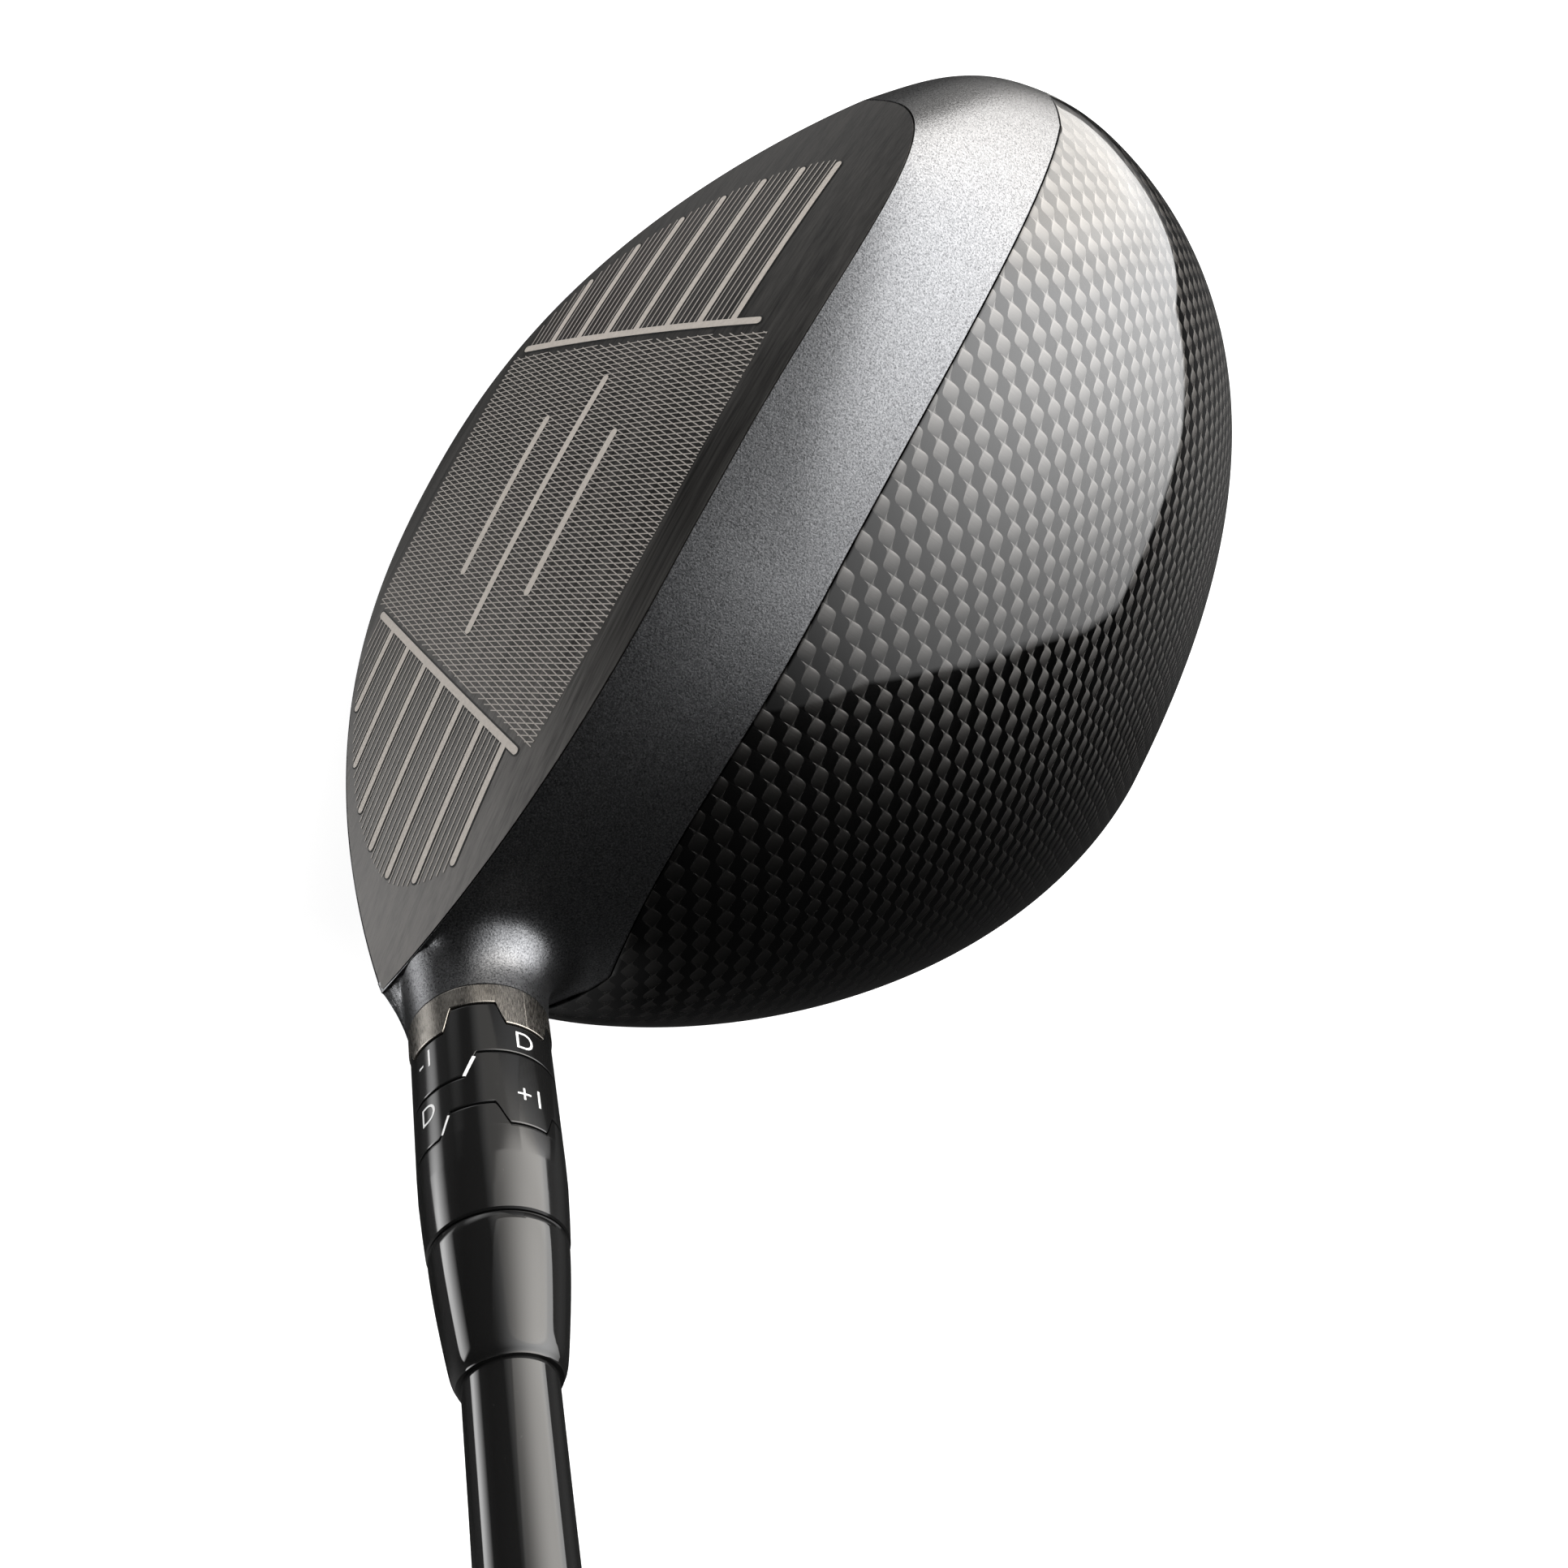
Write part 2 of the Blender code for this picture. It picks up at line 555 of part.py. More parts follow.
def adapter_pieces(root):
    """The aluminium adapter on the shaft's tip, with the sleeve that shows above the cogs, and the ferrule."""
    place = axis_matrix(HOSEL_POINT, HOSEL_DIR)
    adapter = [
        (ADAPTER_BORE_R, FERRULE_FOOT - GAP), (FERRULE_R + 0.0001, FERRULE_FOOT - GAP), (SLEEVE_R, 0.0362),
        (SLEEVE_R, SLEEVE_FOOT), (ADAPTER_R, SLEEVE_FOOT), (ADAPTER_R, -0.0070), (ADAPTER_R - 0.0008, -0.0080),
        (0.0026, -0.0080), (0.0026, 0.0030), (ADAPTER_BORE_R, 0.0030),
    ]
    turned("shaft_adapter", adapter, "black_gloss", place, root)
    ferrule = [
        (ADAPTER_BORE_R, FERRULE_END), (0.0047, FERRULE_END), (FERRULE_TIP_R, FERRULE_END - 0.0007),
        (FERRULE_TIP_R + 0.0001, FERRULE_END - 0.0016), (FERRULE_R, FERRULE_FOOT), (ADAPTER_BORE_R, FERRULE_FOOT),
    ]
    turned("ferrule", ferrule, "black_gloss", place, root)


def cogs(upper, lower):
    ring("lower_cog", ADAPTER_R + 0.0002, COG_R, lambda a: notch(a) + GAP, step_line, "black_gloss", lower)
    ring(
        "upper_cog", ADAPTER_R + 0.0002, COG_R, lambda a: step_line(a) + GAP,
        lambda a: SLEEVE_FOOT - GAP, "black_gloss", upper,
    )


def shaft_pieces(root):
    place = axis_matrix(HOSEL_POINT, HOSEL_DIR)
    count = 8
    stations = [SHAFT_TIP + (BUTT - 0.004 - SHAFT_TIP) * k / count for k in range(count + 1)]

    def outer(s):
        t = max(0.0, (s - 0.075) / (BUTT - 0.075))
        return SHAFT_TIP_R + (SHAFT_BUTT_R - SHAFT_TIP_R) * t**0.85

    profile = [(outer(s), s) for s in stations] + [(outer(s) - SHAFT_WALL, s) for s in reversed(stations)]
    turned("shaft", profile, "graphite", place, root, 28)
    plug = [(0.0, 0.013), (0.0028, 0.013), (0.0028, 0.0045), (0.0, 0.0045)]
    turned("tip_plug", plug, "steel", place, root, 24)
    mouth = BUTT - GRIP_LENGTH
    grip, steps = [], 8
    for k in range(steps + 1):
        s = mouth + (GRIP_LENGTH - 0.006) * k / steps
        grip.append((GRIP_MOUTH_R + (GRIP_BUTT_R - GRIP_MOUTH_R) * (k / steps) ** 1.15, s))
    tape = [(outer(BUTT - 0.004) + 0.0003, BUTT - 0.0062), (outer(mouth + 0.004) + 0.0003, mouth + 0.004)]
    inner = [(r + 0.0006, s) for r, s in tape]
    grip_loop = [(inner[1][0] - 0.0002, mouth)] + grip + [(inner[0][0], BUTT - 0.006)]
    turned("grip", grip_loop, "rubber", place, root, 32)
    turned("grip_tape", [inner_point(tape[1], 0.0), inner_point(tape[0], 0.0),
                         inner_point(tape[0], 0.0003), inner_point(tape[1], 0.0003)], "fabric_tape", place, root, 32)
    cap = [
        (0.0012, BUTT - 0.0036), (0.0084, BUTT - 0.0036), (0.0084, BUTT - 0.0057),
        (GRIP_BUTT_R, BUTT - 0.0057), (GRIP_BUTT_R - 0.0001, BUTT - 0.0025),
        (GRIP_BUTT_R - 0.0010, BUTT - 0.0008), (GRIP_BUTT_R - 0.0030, BUTT), (0.0012, BUTT),
    ]
    turned("grip_cap", cap, "rubber", place, root, 32)


def inner_point(point, out):
    """The same place along the shaft, a little further out."""
    return (point[0] + out, point[1])


def weight_port(name, spot, head, weight, screw):
    """A threaded port cup in the sole, its weight, and the screw that holds it. Heights run outwards from the sole."""
    point, facing = spot
    place = axis_matrix(point, facing)
    bore = WEIGHT_R + GAP
    floor = -WEIGHT_DEEP - GAP
    deep = floor - PORT_FLOOR
    rim = -0.0012
    cup = [
        (bore + PORT_WALL, rim), (bore, rim), (bore, floor), (SCREW_R + 0.0003, floor),
        (SCREW_R + 0.0003, deep), (bore + PORT_WALL, deep),
    ]
    turned(name + "_port", cup, "aluminium", place, head)
    recess = SCREW_HEAD_DEEP + GAP
    slug = [
        (WEIGHT_R, -0.0004), (WEIGHT_R - 0.0004, 0.0), (SCREW_HEAD_R + GAP, 0.0), (SCREW_HEAD_R + GAP, -recess),
        (SCREW_R + GAP, -recess), (SCREW_R + GAP, -WEIGHT_DEEP), (WEIGHT_R, -WEIGHT_DEEP),
    ]
    turned(name + "_weight", slug, "tungsten", place, weight)
    bolt = [
        (0.0, -0.0002), (SCREW_HEAD_R - 0.0004, -0.0002), (SCREW_HEAD_R, -0.0006), (SCREW_HEAD_R, -SCREW_HEAD_DEEP),
        (SCREW_R, -SCREW_HEAD_DEEP), (SCREW_R, deep - 0.0010), (SCREW_R - 0.0006, deep - 0.0018),
        (0.0, deep - 0.0018),
    ]
    made = turned(name + "_screw", bolt, "steel", place, screw)
    boolean(made, socket(0.0019, place, -0.0020, 0.0008, screw), "DIFFERENCE")


def main():
    clear_scene()
    hosel = axis_matrix(HOSEL_POINT, HOSEL_DIR)
    root = empty("club_shaft", hosel)
    head = empty("head_release", hosel, root)
    upper = empty("cog_index", hosel, root)
    lower = empty("cog_slide", hosel, upper)
    bolt = empty("bolt_turn", hosel, head)
    shaft_pieces(root)
    adapter_pieces(root)
    cogs(upper, lower)
    head_body(head)
    face_plate(head)
    crown_panel(head)
    sole_panel(head)
    skirt_ring(head)
    hosel_pieces(head, bolt)
    for name, spot in (("front", FRONT_WEIGHT), ("rear", REAR_WEIGHT)):
        place = axis_matrix(*spot)
        weight = empty(name + "_weight_slide", place, head)
        screw = empty(name + "_screw_turn", place, weight)
        weight_port(name, spot, head, weight, screw)


main()
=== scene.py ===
"""The looks of the golf driver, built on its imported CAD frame. Metres; +X is the heel side, +Y the back."""

import math

import bmesh
import bpy
import numpy as np
from mathutils import Matrix, Vector
from mathutils.bvhtree import BVHTree


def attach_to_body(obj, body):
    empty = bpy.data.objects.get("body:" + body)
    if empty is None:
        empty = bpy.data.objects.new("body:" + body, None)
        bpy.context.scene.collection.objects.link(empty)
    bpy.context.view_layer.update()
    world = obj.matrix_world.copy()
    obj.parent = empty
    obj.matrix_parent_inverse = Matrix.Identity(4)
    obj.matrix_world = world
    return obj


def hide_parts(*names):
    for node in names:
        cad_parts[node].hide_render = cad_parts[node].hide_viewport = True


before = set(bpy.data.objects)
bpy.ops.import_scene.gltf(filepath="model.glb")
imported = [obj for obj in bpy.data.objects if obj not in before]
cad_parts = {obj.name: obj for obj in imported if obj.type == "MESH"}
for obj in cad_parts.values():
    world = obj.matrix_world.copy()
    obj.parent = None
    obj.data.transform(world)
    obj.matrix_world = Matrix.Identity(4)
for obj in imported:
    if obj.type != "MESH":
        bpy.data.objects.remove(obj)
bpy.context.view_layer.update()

# ---- Dimensions shared with the CAD part ---------------------------------------------------------

LOFT = math.radians(10.25)
BULGE_RADIUS = 0.307
FACE_Y, FACE_Z = -0.018, 0.034
FACE_CENTRE = (-0.001, 0.007)
FACE_TOE, FACE_HEEL, FACE_TOP, FACE_BOTTOM = 0.0542, 0.0546, 0.0147, 0.0360
REAR_Y = 0.085
TOE_WIDEST_Y, HEEL_WIDEST_Y = 0.020, 0.005
RIDGE_X = -0.015
TOE_REACH, HEEL_REACH = 0.059, 0.066
CROWN_TOP, SOLE_LOW = 0.0605, 0.0006
RIM_TOE, RIM_HEEL, RIM_REAR = 0.036, 0.028, 0.021
CROWN_POWERS, SOLE_POWERS, HEEL_POWER = (2.2, 1.75), (2.4, 1.7), 1.55
CROWN_EDGE_Y, SIDE_EDGE_Y, SOLE_EDGE_Y = 0.0010, 0.0082, 0.0200
RIM_MIDDLE = (-0.012, 0.030)
EDGE_SWEEP = (0.62, 0.97)
LIE = math.radians(57.48)
HOSEL_POINT = Vector((0.0429, -0.0045, 0.034))
HOSEL_DIR = Vector((math.cos(LIE), 0.0, math.sin(LIE)))
HOSEL_E1 = Vector((-math.sin(LIE), 0.0, math.cos(LIE)))
HOSEL_E2 = Vector((0.0, -1.0, 0.0))
NECK_FOOT, NECK_TOP, COLLAR_TOP, COG_STEP, SLEEVE_FOOT = -0.004, 0.0174, 0.0226, 0.0264, 0.0355
FERRULE_FOOT, FERRULE_END = 0.0448, 0.0583
TOOTH, STEP, SECOND_LINE = 0.0026, 0.0027, 0.0328
COLLAR_R, COG_R, SLEEVE_R, FERRULE_R, FERRULE_TIP_R = 0.0071, 0.00695, 0.0069, 0.0064, 0.0049
COLLAR_INNER_R, COG_INNER_R, RING_BEVEL = 0.0062, 0.0054, 0.00009
BUTT = 1.156 - HOSEL_POINT.z / math.sin(LIE)
SHAFT_TIP_R, SHAFT_BUTT_R = 0.0042, 0.0076
GRIP_LENGTH, GRIP_MOUTH_R, GRIP_BUTT_R = 0.267, 0.0092, 0.0133
REAR_PORT, REAR_PORT_TILT, REAR_HOLE_R = Vector((-0.015, 0.067, 0.0118)), math.radians(21.5), 0.0097
CROWN_INSET, SOLE_INSET = 0.0011, 0.0095
SEAM, RING_SEAM, FACE_SEAM = 0.00012, 0.00012, 0.00022
SHELL_THICK, FACE_CLEAR = 0.0012, 0.0006
SKIN_LIFT, MARK_LIFT, TICK_LIFT = 0.00004, 0.00002, 0.00003
ROUND_MM = 2 * math.pi * 7.0  # the length of the UV map once round the hosel
DIAL_SIZE = 0.0031
DIAL_MARKS = (
    ("lower_d", "D", 3, 0.0246),
    ("lower_minus", "-1", 90, 0.0247),
    ("upper_plus", "+1", 2, 0.0316),
    ("upper_d", "D", 91, 0.0314),
)
TOW_ACROSS, TOW_BACK = 2.1, 1.85
BAND_COLUMNS = 420


# ---- Materials -----------------------------------------------------------------------------------


class Nodes:
    """A node tree, of a new material unless one is given, with short ways to add and join nodes."""

    def __init__(self, name, tree=None):
        self.tree = tree
        if tree is None:
            self.material = bpy.data.materials.new(name)
            self.material.use_nodes = True
            self.tree = self.material.node_tree
            self.shader = self.tree.nodes["Principled BSDF"]

    def add(self, kind, **settings):
        node = self.tree.nodes.new(kind)
        for key, value in settings.items():
            setattr(node, key, value)
        return node

    def join(self, start, end):
        self.tree.links.new(start, end)

    def put(self, socket, value):
        """value is a socket or a plain value."""
        if isinstance(value, bpy.types.NodeSocket):
            self.join(value, socket)
        else:
            socket.default_value = value

    def math(self, operation, *values, clamp=False):
        node = self.add("ShaderNodeMath", operation=operation, use_clamp=clamp)
        for socket, value in zip(node.inputs, values):
            self.put(socket, value)
        return node.outputs[0]

    def times(self, first, *others):
        for other in others:
            first = self.math("MULTIPLY", first, other)
        return first

    def plus(self, first, *others):
        for other in others:
            first = self.math("ADD", first, other)
        return first

    def mix(self, factor, low, high):
        node = self.add("ShaderNodeMix", data_type="RGBA")
        self.put(node.inputs[0], factor)
        self.put(node.inputs[6], low)
        self.put(node.inputs[7], high)
        return node.outputs[2]

    def ramp(self, value, low, high, start=0.0, end=1.0):
        node = self.add("ShaderNodeMapRange")
        for socket, setting in zip(node.inputs, (value, low, high, start, end)):
            self.put(socket, setting)
        return node.outputs[0]

    def noise(self, vector, scale, detail=2.0, roughness=0.5):
        node = self.add("ShaderNodeTexNoise")
        self.put(node.inputs["Vector"], vector)
        node.inputs["Scale"].default_value = scale
        node.inputs["Detail"].default_value = detail
        node.inputs["Roughness"].default_value = roughness
        return node.outputs["Fac"]

    def place(self, scale=(1, 1, 1), source="Object"):
        """The object's own coordinates, or its UV map in millimetres, stretched by scale."""
        coordinates = self.add("ShaderNodeTexCoord").outputs[source]
        mapping = self.add("ShaderNodeMapping")
        self.join(coordinates, mapping.inputs["Vector"])
        mapping.inputs["Scale"].default_value = scale
        return mapping.outputs["Vector"]

    def bump(self, height, distance, strength=1.0):
        node = self.add("ShaderNodeBump")
        self.put(node.inputs["Height"], height)
        node.inputs["Distance"].default_value = distance
        node.inputs["Strength"].default_value = strength
        return node.outputs["Normal"]

    def set(self, **values):
        """Sets the shader's inputs: base_color=..., roughness=..., and so on."""
        for key, value in values.items():
            name = key.replace("_", " ").title().replace("Ior", "IOR")
            self.put(self.shader.inputs[name], value)
        return self.material


def gray(value, warm=0.0):
    return (value * (1 + warm), value, value * (1 - warm), 1.0)


def face_material():
    """Dark forged metal, brushed from toe to heel."""
    m = Nodes("brushed_face")
    streaks = m.noise(m.place((25, 900, 900)), 1.0, 3.0, 0.6)
    fine = m.noise(m.place((70, 4200, 4200)), 1.0, 2.0, 0.6)
    cloud = m.noise(m.place(), 45.0, 2.0)
    both = m.plus(m.times(streaks, 0.6), m.times(fine, 0.4))
    tone = m.ramp(both, 0.35, 0.65, 0.0, 1.0)
    return m.set(
        base_color=m.mix(tone, gray(0.022, 0.05), gray(0.075, 0.05)),
        metallic=0.85,
        roughness=m.plus(m.ramp(both, 0.3, 0.7, 0.30, 0.44), m.times(cloud, 0.06)),
        normal=m.bump(both, 0.00002, 0.5),
    )


def ivory_material():
    """The paint in the score lines."""
    m = Nodes("score_line_paint")
    grain = m.noise(m.place(), 2500.0, 3.0)
    return m.set(base_color=m.mix(grain, gray(0.30, 0.10), gray(0.46, 0.10)), roughness=0.55, metallic=0.0)


def fine_line_material():
    m = Nodes("fine_line_paint")
    grain = m.noise(m.place(), 2500.0, 3.0)
    return m.set(base_color=m.mix(grain, gray(0.22, 0.09), gray(0.34, 0.09)), roughness=0.55, metallic=0.0)


# painted shadow: near-black paint laid along the edges of each wide score line, standing in for the shade
# inside the groove
def painted_groove_shadow_material():
    m = Nodes("painted_groove_shadow")
    grain = m.noise(m.place(), 1500.0)
    return m.set(base_color=m.mix(grain, gray(0.006), gray(0.016)), roughness=0.6, metallic=0.3)


def paint_material():
    """Satin blue-grey paint with fine metal flakes."""
    m = Nodes("flake_paint")
    flakes = m.noise(m.place(), 5200.0, 2.0, 0.7)
    soft = m.noise(m.place(), 900.0, 2.0, 0.5)
    tone = m.ramp(flakes, 0.32, 0.68, 0.0, 1.0)
    return m.set(
        base_color=m.mix(tone, (0.057, 0.058, 0.0605, 1), (0.200, 0.202, 0.208, 1)),
        metallic=0.97,
        roughness=m.ramp(flakes, 0.3, 0.7, 0.26, 0.35),
        specular_tint=gray(0.75),
        normal=m.bump(m.plus(flakes, m.times(soft, 0.3)), 0.000035, 0.8),
    )


def carbon_material(name="carbon_weave", painted_heel_shade=True):
    """A plain weave of carbon tows, about 2 mm wide, under clear lacquer, with painted reflection and shade
    in its cell colours. Its UV map is in millimetres.
    """
    m = Nodes(name)
    uv = m.add("ShaderNodeTexCoord").outputs["UV"]
    sag = m.noise(m.place((0.06, 0.06, 0.06), "UV"), 1.0, 1.0)
    parts = m.add("ShaderNodeSeparateXYZ")
    m.join(uv, parts.inputs[0])
    across = m.plus(m.math("DIVIDE", parts.outputs[0], TOW_ACROSS), m.times(sag, 0.5))
    back = m.plus(m.math("DIVIDE", parts.outputs[1], TOW_BACK), m.times(sag, 0.8))
    inside_x = m.math("FRACT", across)
    inside_y = m.math("FRACT", back)
    turn_x = m.times(across, math.pi)
    turn_y = m.times(back, math.pi)
    cells = m.times(m.math("SINE", turn_x), m.math("SINE", turn_y))
    links = m.times(m.math("COSINE", turn_x), m.math("COSINE", turn_y))
    check = m.ramp(m.plus(cells, m.times(links, 0.16)), -0.04, 0.04)
    pillow = m.math("POWER", m.math("ABSOLUTE", cells), 0.5)
    threads_x = m.noise(m.place((0.25, 18, 1), "UV"), 1.0, 2.0)
    threads_y = m.noise(m.place((18, 0.25, 1), "UV"), 1.0, 2.0)
    threads = m.add("ShaderNodeMix")
    for socket, value in ((0, check), (2, threads_x), (3, threads_y)):
        m.put(threads.inputs[socket], value)
    # painted highlight and shade: each lit tow is painted brighter, with a bright rim, at its toe and front
    # edges and darker towards its heel and back corner
    slope = m.plus(m.times(inside_x, -0.45), m.times(inside_y, -0.60))
    painted_rim_highlight = m.math("MAXIMUM", m.ramp(inside_x, 0.16, 0.05), m.ramp(inside_y, 0.16, 0.05))
    shade = m.plus(slope, 1.35, m.times(painted_rim_highlight, 0.25))
    # painted reflection and shade: the tows of one direction get a lit colour and those of the other a
    # near-black shaded one, standing in for how each catches the light; the checker itself is the real weave
    painted_lit_tow_color = m.mix(threads.outputs[0], gray(0.054, 0.04), gray(0.088, 0.04))
    painted_shade = m.mix(threads.outputs[0], gray(0.0015), gray(0.004))
    shaded = m.add("ShaderNodeVectorMath", operation="SCALE")
    m.join(painted_lit_tow_color, shaded.inputs[0])
    m.join(shade, shaded.inputs["Scale"])
    color = m.mix(check, painted_shade, shaded.outputs[0])
    if painted_heel_shade:  # painted shade: towards the crown's lower heel side the weave is painted over with plain black, where its tows catch no light
        spot = m.add("ShaderNodeSeparateXYZ")
        m.join(m.add("ShaderNodeTexCoord").outputs["Object"], spot.inputs[0])
        lower = m.ramp(spot.outputs[2], 0.026, 0.046)
        side = m.ramp(spot.outputs[0], 0.036, 0.010)
        painted_lit_part = m.math("MAXIMUM", lower, side, clamp=True)
        color = m.mix(painted_lit_part, gray(0.003), color)
    height = m.plus(pillow, m.times(threads.outputs[0], 0.10))
    tangent = m.add("ShaderNodeTangent", direction_type="UV_MAP").outputs[0]
    return m.set(
        base_color=color,
        metallic=1.0,
        roughness=0.46,
        specular_tint=gray(0.3),
        anisotropic=0.6,
        anisotropic_rotation=m.times(check, 0.25),
        tangent=tangent,
        normal=m.bump(height, 0.00012, 0.6),
        coat_weight=1.0,
        coat_roughness=0.02,
        coat_ior=1.5,
    )


def lacquer_material(name, value, roughness=0.08, coat=0.0, specks=True):
    """Black gloss, with faint dust and scuffs in its roughness."""
    m = Nodes(name)
    dust = m.noise(m.place(), 1800.0, 3.0, 0.7)
    smear = m.noise(m.place(), 60.0, 3.0, 0.6)
    level = m.ramp(dust, 0.70, 0.80) if specks else 0.0
    return m.set(
        base_color=m.mix(level, gray(value), gray(value * 5 + 0.01)),
        roughness=m.plus(m.times(smear, 0.06), roughness),
        coat_weight=coat,
        coat_roughness=0.03,
        normal=m.bump(smear, 0.00004, 0.25),
    )


def titanium_material():
    """Bare metal, brushed around the hosel."""
    m = Nodes("bare_titanium")
    around = m.place((1, 1, 1), "UV")
    rings = m.noise(m.place((11, 1.1, 1), "UV"), 1.0, 3.0, 0.7)
    stain = m.noise(around, 0.45, 3.0, 0.6)
    both = m.plus(m.times(rings, 0.65), m.times(stain, 0.35))
    color = m.mix(m.ramp(both, 0.32, 0.68), (0.11, 0.101, 0.090, 1), (0.40, 0.375, 0.34, 1))
    return m.set(
        base_color=color,
        metallic=1.0,
        roughness=m.ramp(rings, 0.3, 0.7, 0.18, 0.36),
        normal=m.bump(rings, 0.00002, 0.6),
    )


def metal_material(name, value, warm=0.0, roughness=0.3, scale=700.0):
    m = Nodes(name)
    turned = m.noise(m.place((1, 1, 6)), scale, 2.0, 0.6)
    wear = m.noise(m.place(), 160.0, 3.0, 0.6)
    return m.set(
        base_color=m.mix(wear, gray(value * 0.8, warm), gray(value * 1.15, warm)),
        metallic=1.0,
        roughness=m.plus(m.times(turned, 0.16), roughness - 0.08),
        normal=m.bump(turned, 0.00002, 0.4),
    )


def rubber_material():
    m = Nodes("grip_rubber")
    grain = m.noise(m.place(), 2200.0, 4.0, 0.7)
    shade = m.noise(m.place(), 30.0, 3.0)
    return m.set(
        base_color=m.mix(shade, gray(0.012), gray(0.026)),
        roughness=m.ramp(grain, 0.3, 0.7, 0.62, 0.85),
        normal=m.bump(grain, 0.00006, 0.8),
    )


def mark_material():
    """White paint of the dial marks."""
    m = Nodes("dial_mark_paint")
    wear = m.noise(m.place(), 3500.0, 2.0)
    return m.set(base_color=m.mix(wear, gray(0.62), gray(0.85)), roughness=0.45)


def floor_material():
    m = Nodes("pale_floor")
    grain = m.noise(m.place(), 8.0, 3.0)
    return m.set(
        base_color=m.mix(grain, gray(0.50), gray(0.54)),
        roughness=0.9,
        specular_ior_level=0.0,
        emission_color=gray(1.0),
        emission_strength=0.93,
    )


# ---- Meshes --------------------------------------------------------------------------------------


def mesh_piece(name, points, faces, look, body, replaces=(), uv=None, sharp=None, turn_out=False):
    """A piece of the visual model, which rides on a CAD body."""
    mesh = bpy.data.meshes.new(name)
    mesh.from_pydata(np.asarray(points, float).tolist(), [], [tuple(map(int, f)) for f in faces])
    if turn_out:
        shape = bmesh.new()
        shape.from_mesh(mesh)
        bmesh.ops.recalc_face_normals(shape, faces=shape.faces)
        shape.to_mesh(mesh)
        shape.free()
    if uv is not None:
        loops = np.empty(len(mesh.loops), np.int32)
        mesh.loops.foreach_get("vertex_index", loops)
        layer = mesh.uv_layers.new(name="UVMap")
        layer.data.foreach_set("uv", np.asarray(uv, np.float32)[loops].ravel())
    mesh.materials.append(look)
    mesh.shade_smooth()
    if sharp:
        mesh.set_sharp_from_angle(angle=math.radians(sharp))
    piece = bpy.data.objects.new(name, mesh)
    bpy.context.scene.collection.objects.link(piece)
    return attach(piece, body, replaces)


def attach(piece, body, replaces=()):
    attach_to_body(piece, body)
    if replaces:
        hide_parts(*replaces)
    return piece


def grid_faces(rows, columns, closed):
    faces = []
    for i in range(rows - 1):
        for j in range(columns if closed else columns - 1):
            k = (j + 1) % columns
            faces.append((i * columns + j, i * columns + k, (i + 1) * columns + k, (i + 1) * columns + j))
    return faces


def grid_normals(grid, closed):
    along = np.gradient(grid, axis=0)
    around = (np.roll(grid, -1, 1) - np.roll(grid, 1, 1)) / 2 if closed else np.gradient(grid, axis=1)
    normal = np.cross(along, around)
    normal /= np.maximum(np.linalg.norm(normal, axis=2, keepdims=True), 1e-12)
    middle = np.array([-0.01, 0.02, 0.03])
    return -normal if np.sum(normal * (grid - middle)) < 0 else normal


def rounded(grid, closed, ends=(True, True), drop=0.0009, soften=0.00014):
    """The grid with its first and last rows rolled down into the seam. Returns the longer grid."""
    normal = grid_normals(grid, closed)
    rows = list(grid)

    def rolled(edge, beside, turn):
        inward = beside - edge
        inward /= np.linalg.norm(inward, axis=1, keepdims=True)
        half = edge + inward * soften * 0.3 - turn * soften * 0.3
        return [edge - drop * turn, edge - soften * turn, half, edge + inward * soften]

    if ends[0]:
        rows[0:1] = rolled(rows[0], rows[1], normal[0])
    if ends[1]:
        rows[-1:] = rolled(rows[-1], rows[-2], normal[-1])[::-1]
    return np.array(rows)


def grid_piece(name, grid, closed, look, body, replaces=(), uv=None, sharp=None):
    rows, columns = grid.shape[:2]
    faces = grid_faces(rows, columns, closed)
    return mesh_piece(name, grid.reshape(-1, 3), faces, look, body, replaces, uv, sharp, turn_out=True)


def hosel_at(s, r=0.0, angle=0.0):
    """The point s along the hosel axis and r out, at an angle from the crown side towards the face side."""
    return HOSEL_POINT + HOSEL_DIR * s + (HOSEL_E1 * math.cos(angle) + HOSEL_E2 * math.sin(angle)) * r


def softened(profile, radius=0.00016):
    """A profile of (r, s) with each corner cut by a small chamfer. The ends stay."""
    made = [profile[0]]
    for before, here, after in zip(profile, profile[1:], profile[2:]):
        for other in (before, after):
            gap = math.dist(here, other)
            part = min(radius, gap * 0.4) / max(gap, 1e-9)
            made.append((here[0] + (other[0] - here[0]) * part, here[1] + (other[1] - here[1]) * part))
    made.append(profile[-1])
    return made


def lathe(name, profile, look, body, replaces=(), count=128, soft=0.00016, sharp=30):
    """A turned piece about the hosel axis. profile is an open run of (r, s)."""
    profile = softened(profile, soft) if soft else profile
    grid = np.array([
        [hosel_at(s, r, 2 * math.pi * k / count) for k in range(count)] for r, s in profile
    ])
    uv = [(k * ROUND_MM / count, s * 1000) for _, s in profile for k in range(count)]
    return grid_piece(name, grid, True, look, body, replaces, uv, sharp)


# ---- The head's surfaces, as in the CAD part -----------------------------------------------------


def face_point(across, up, lift=0.0):
    """A point on the bulged face, lifted along its normal."""
    sag = (across * across + up * up) / (2 * BULGE_RADIUS)
    point = np.array([
        across,
        FACE_Y + up * math.sin(LOFT) + sag * math.cos(LOFT),
        FACE_Z + up * math.cos(LOFT) - sag * math.sin(LOFT),
    ])
    normal = np.array([across / BULGE_RADIUS, -math.cos(LOFT), math.sin(LOFT) + up / BULGE_RADIUS])
    return point + lift * normal


def face_y(point):
    """Where the face's surface is, in front of a point."""
    up = (point[2] - FACE_Z) / math.cos(LOFT)
    return face_point(point[0], up)[1]


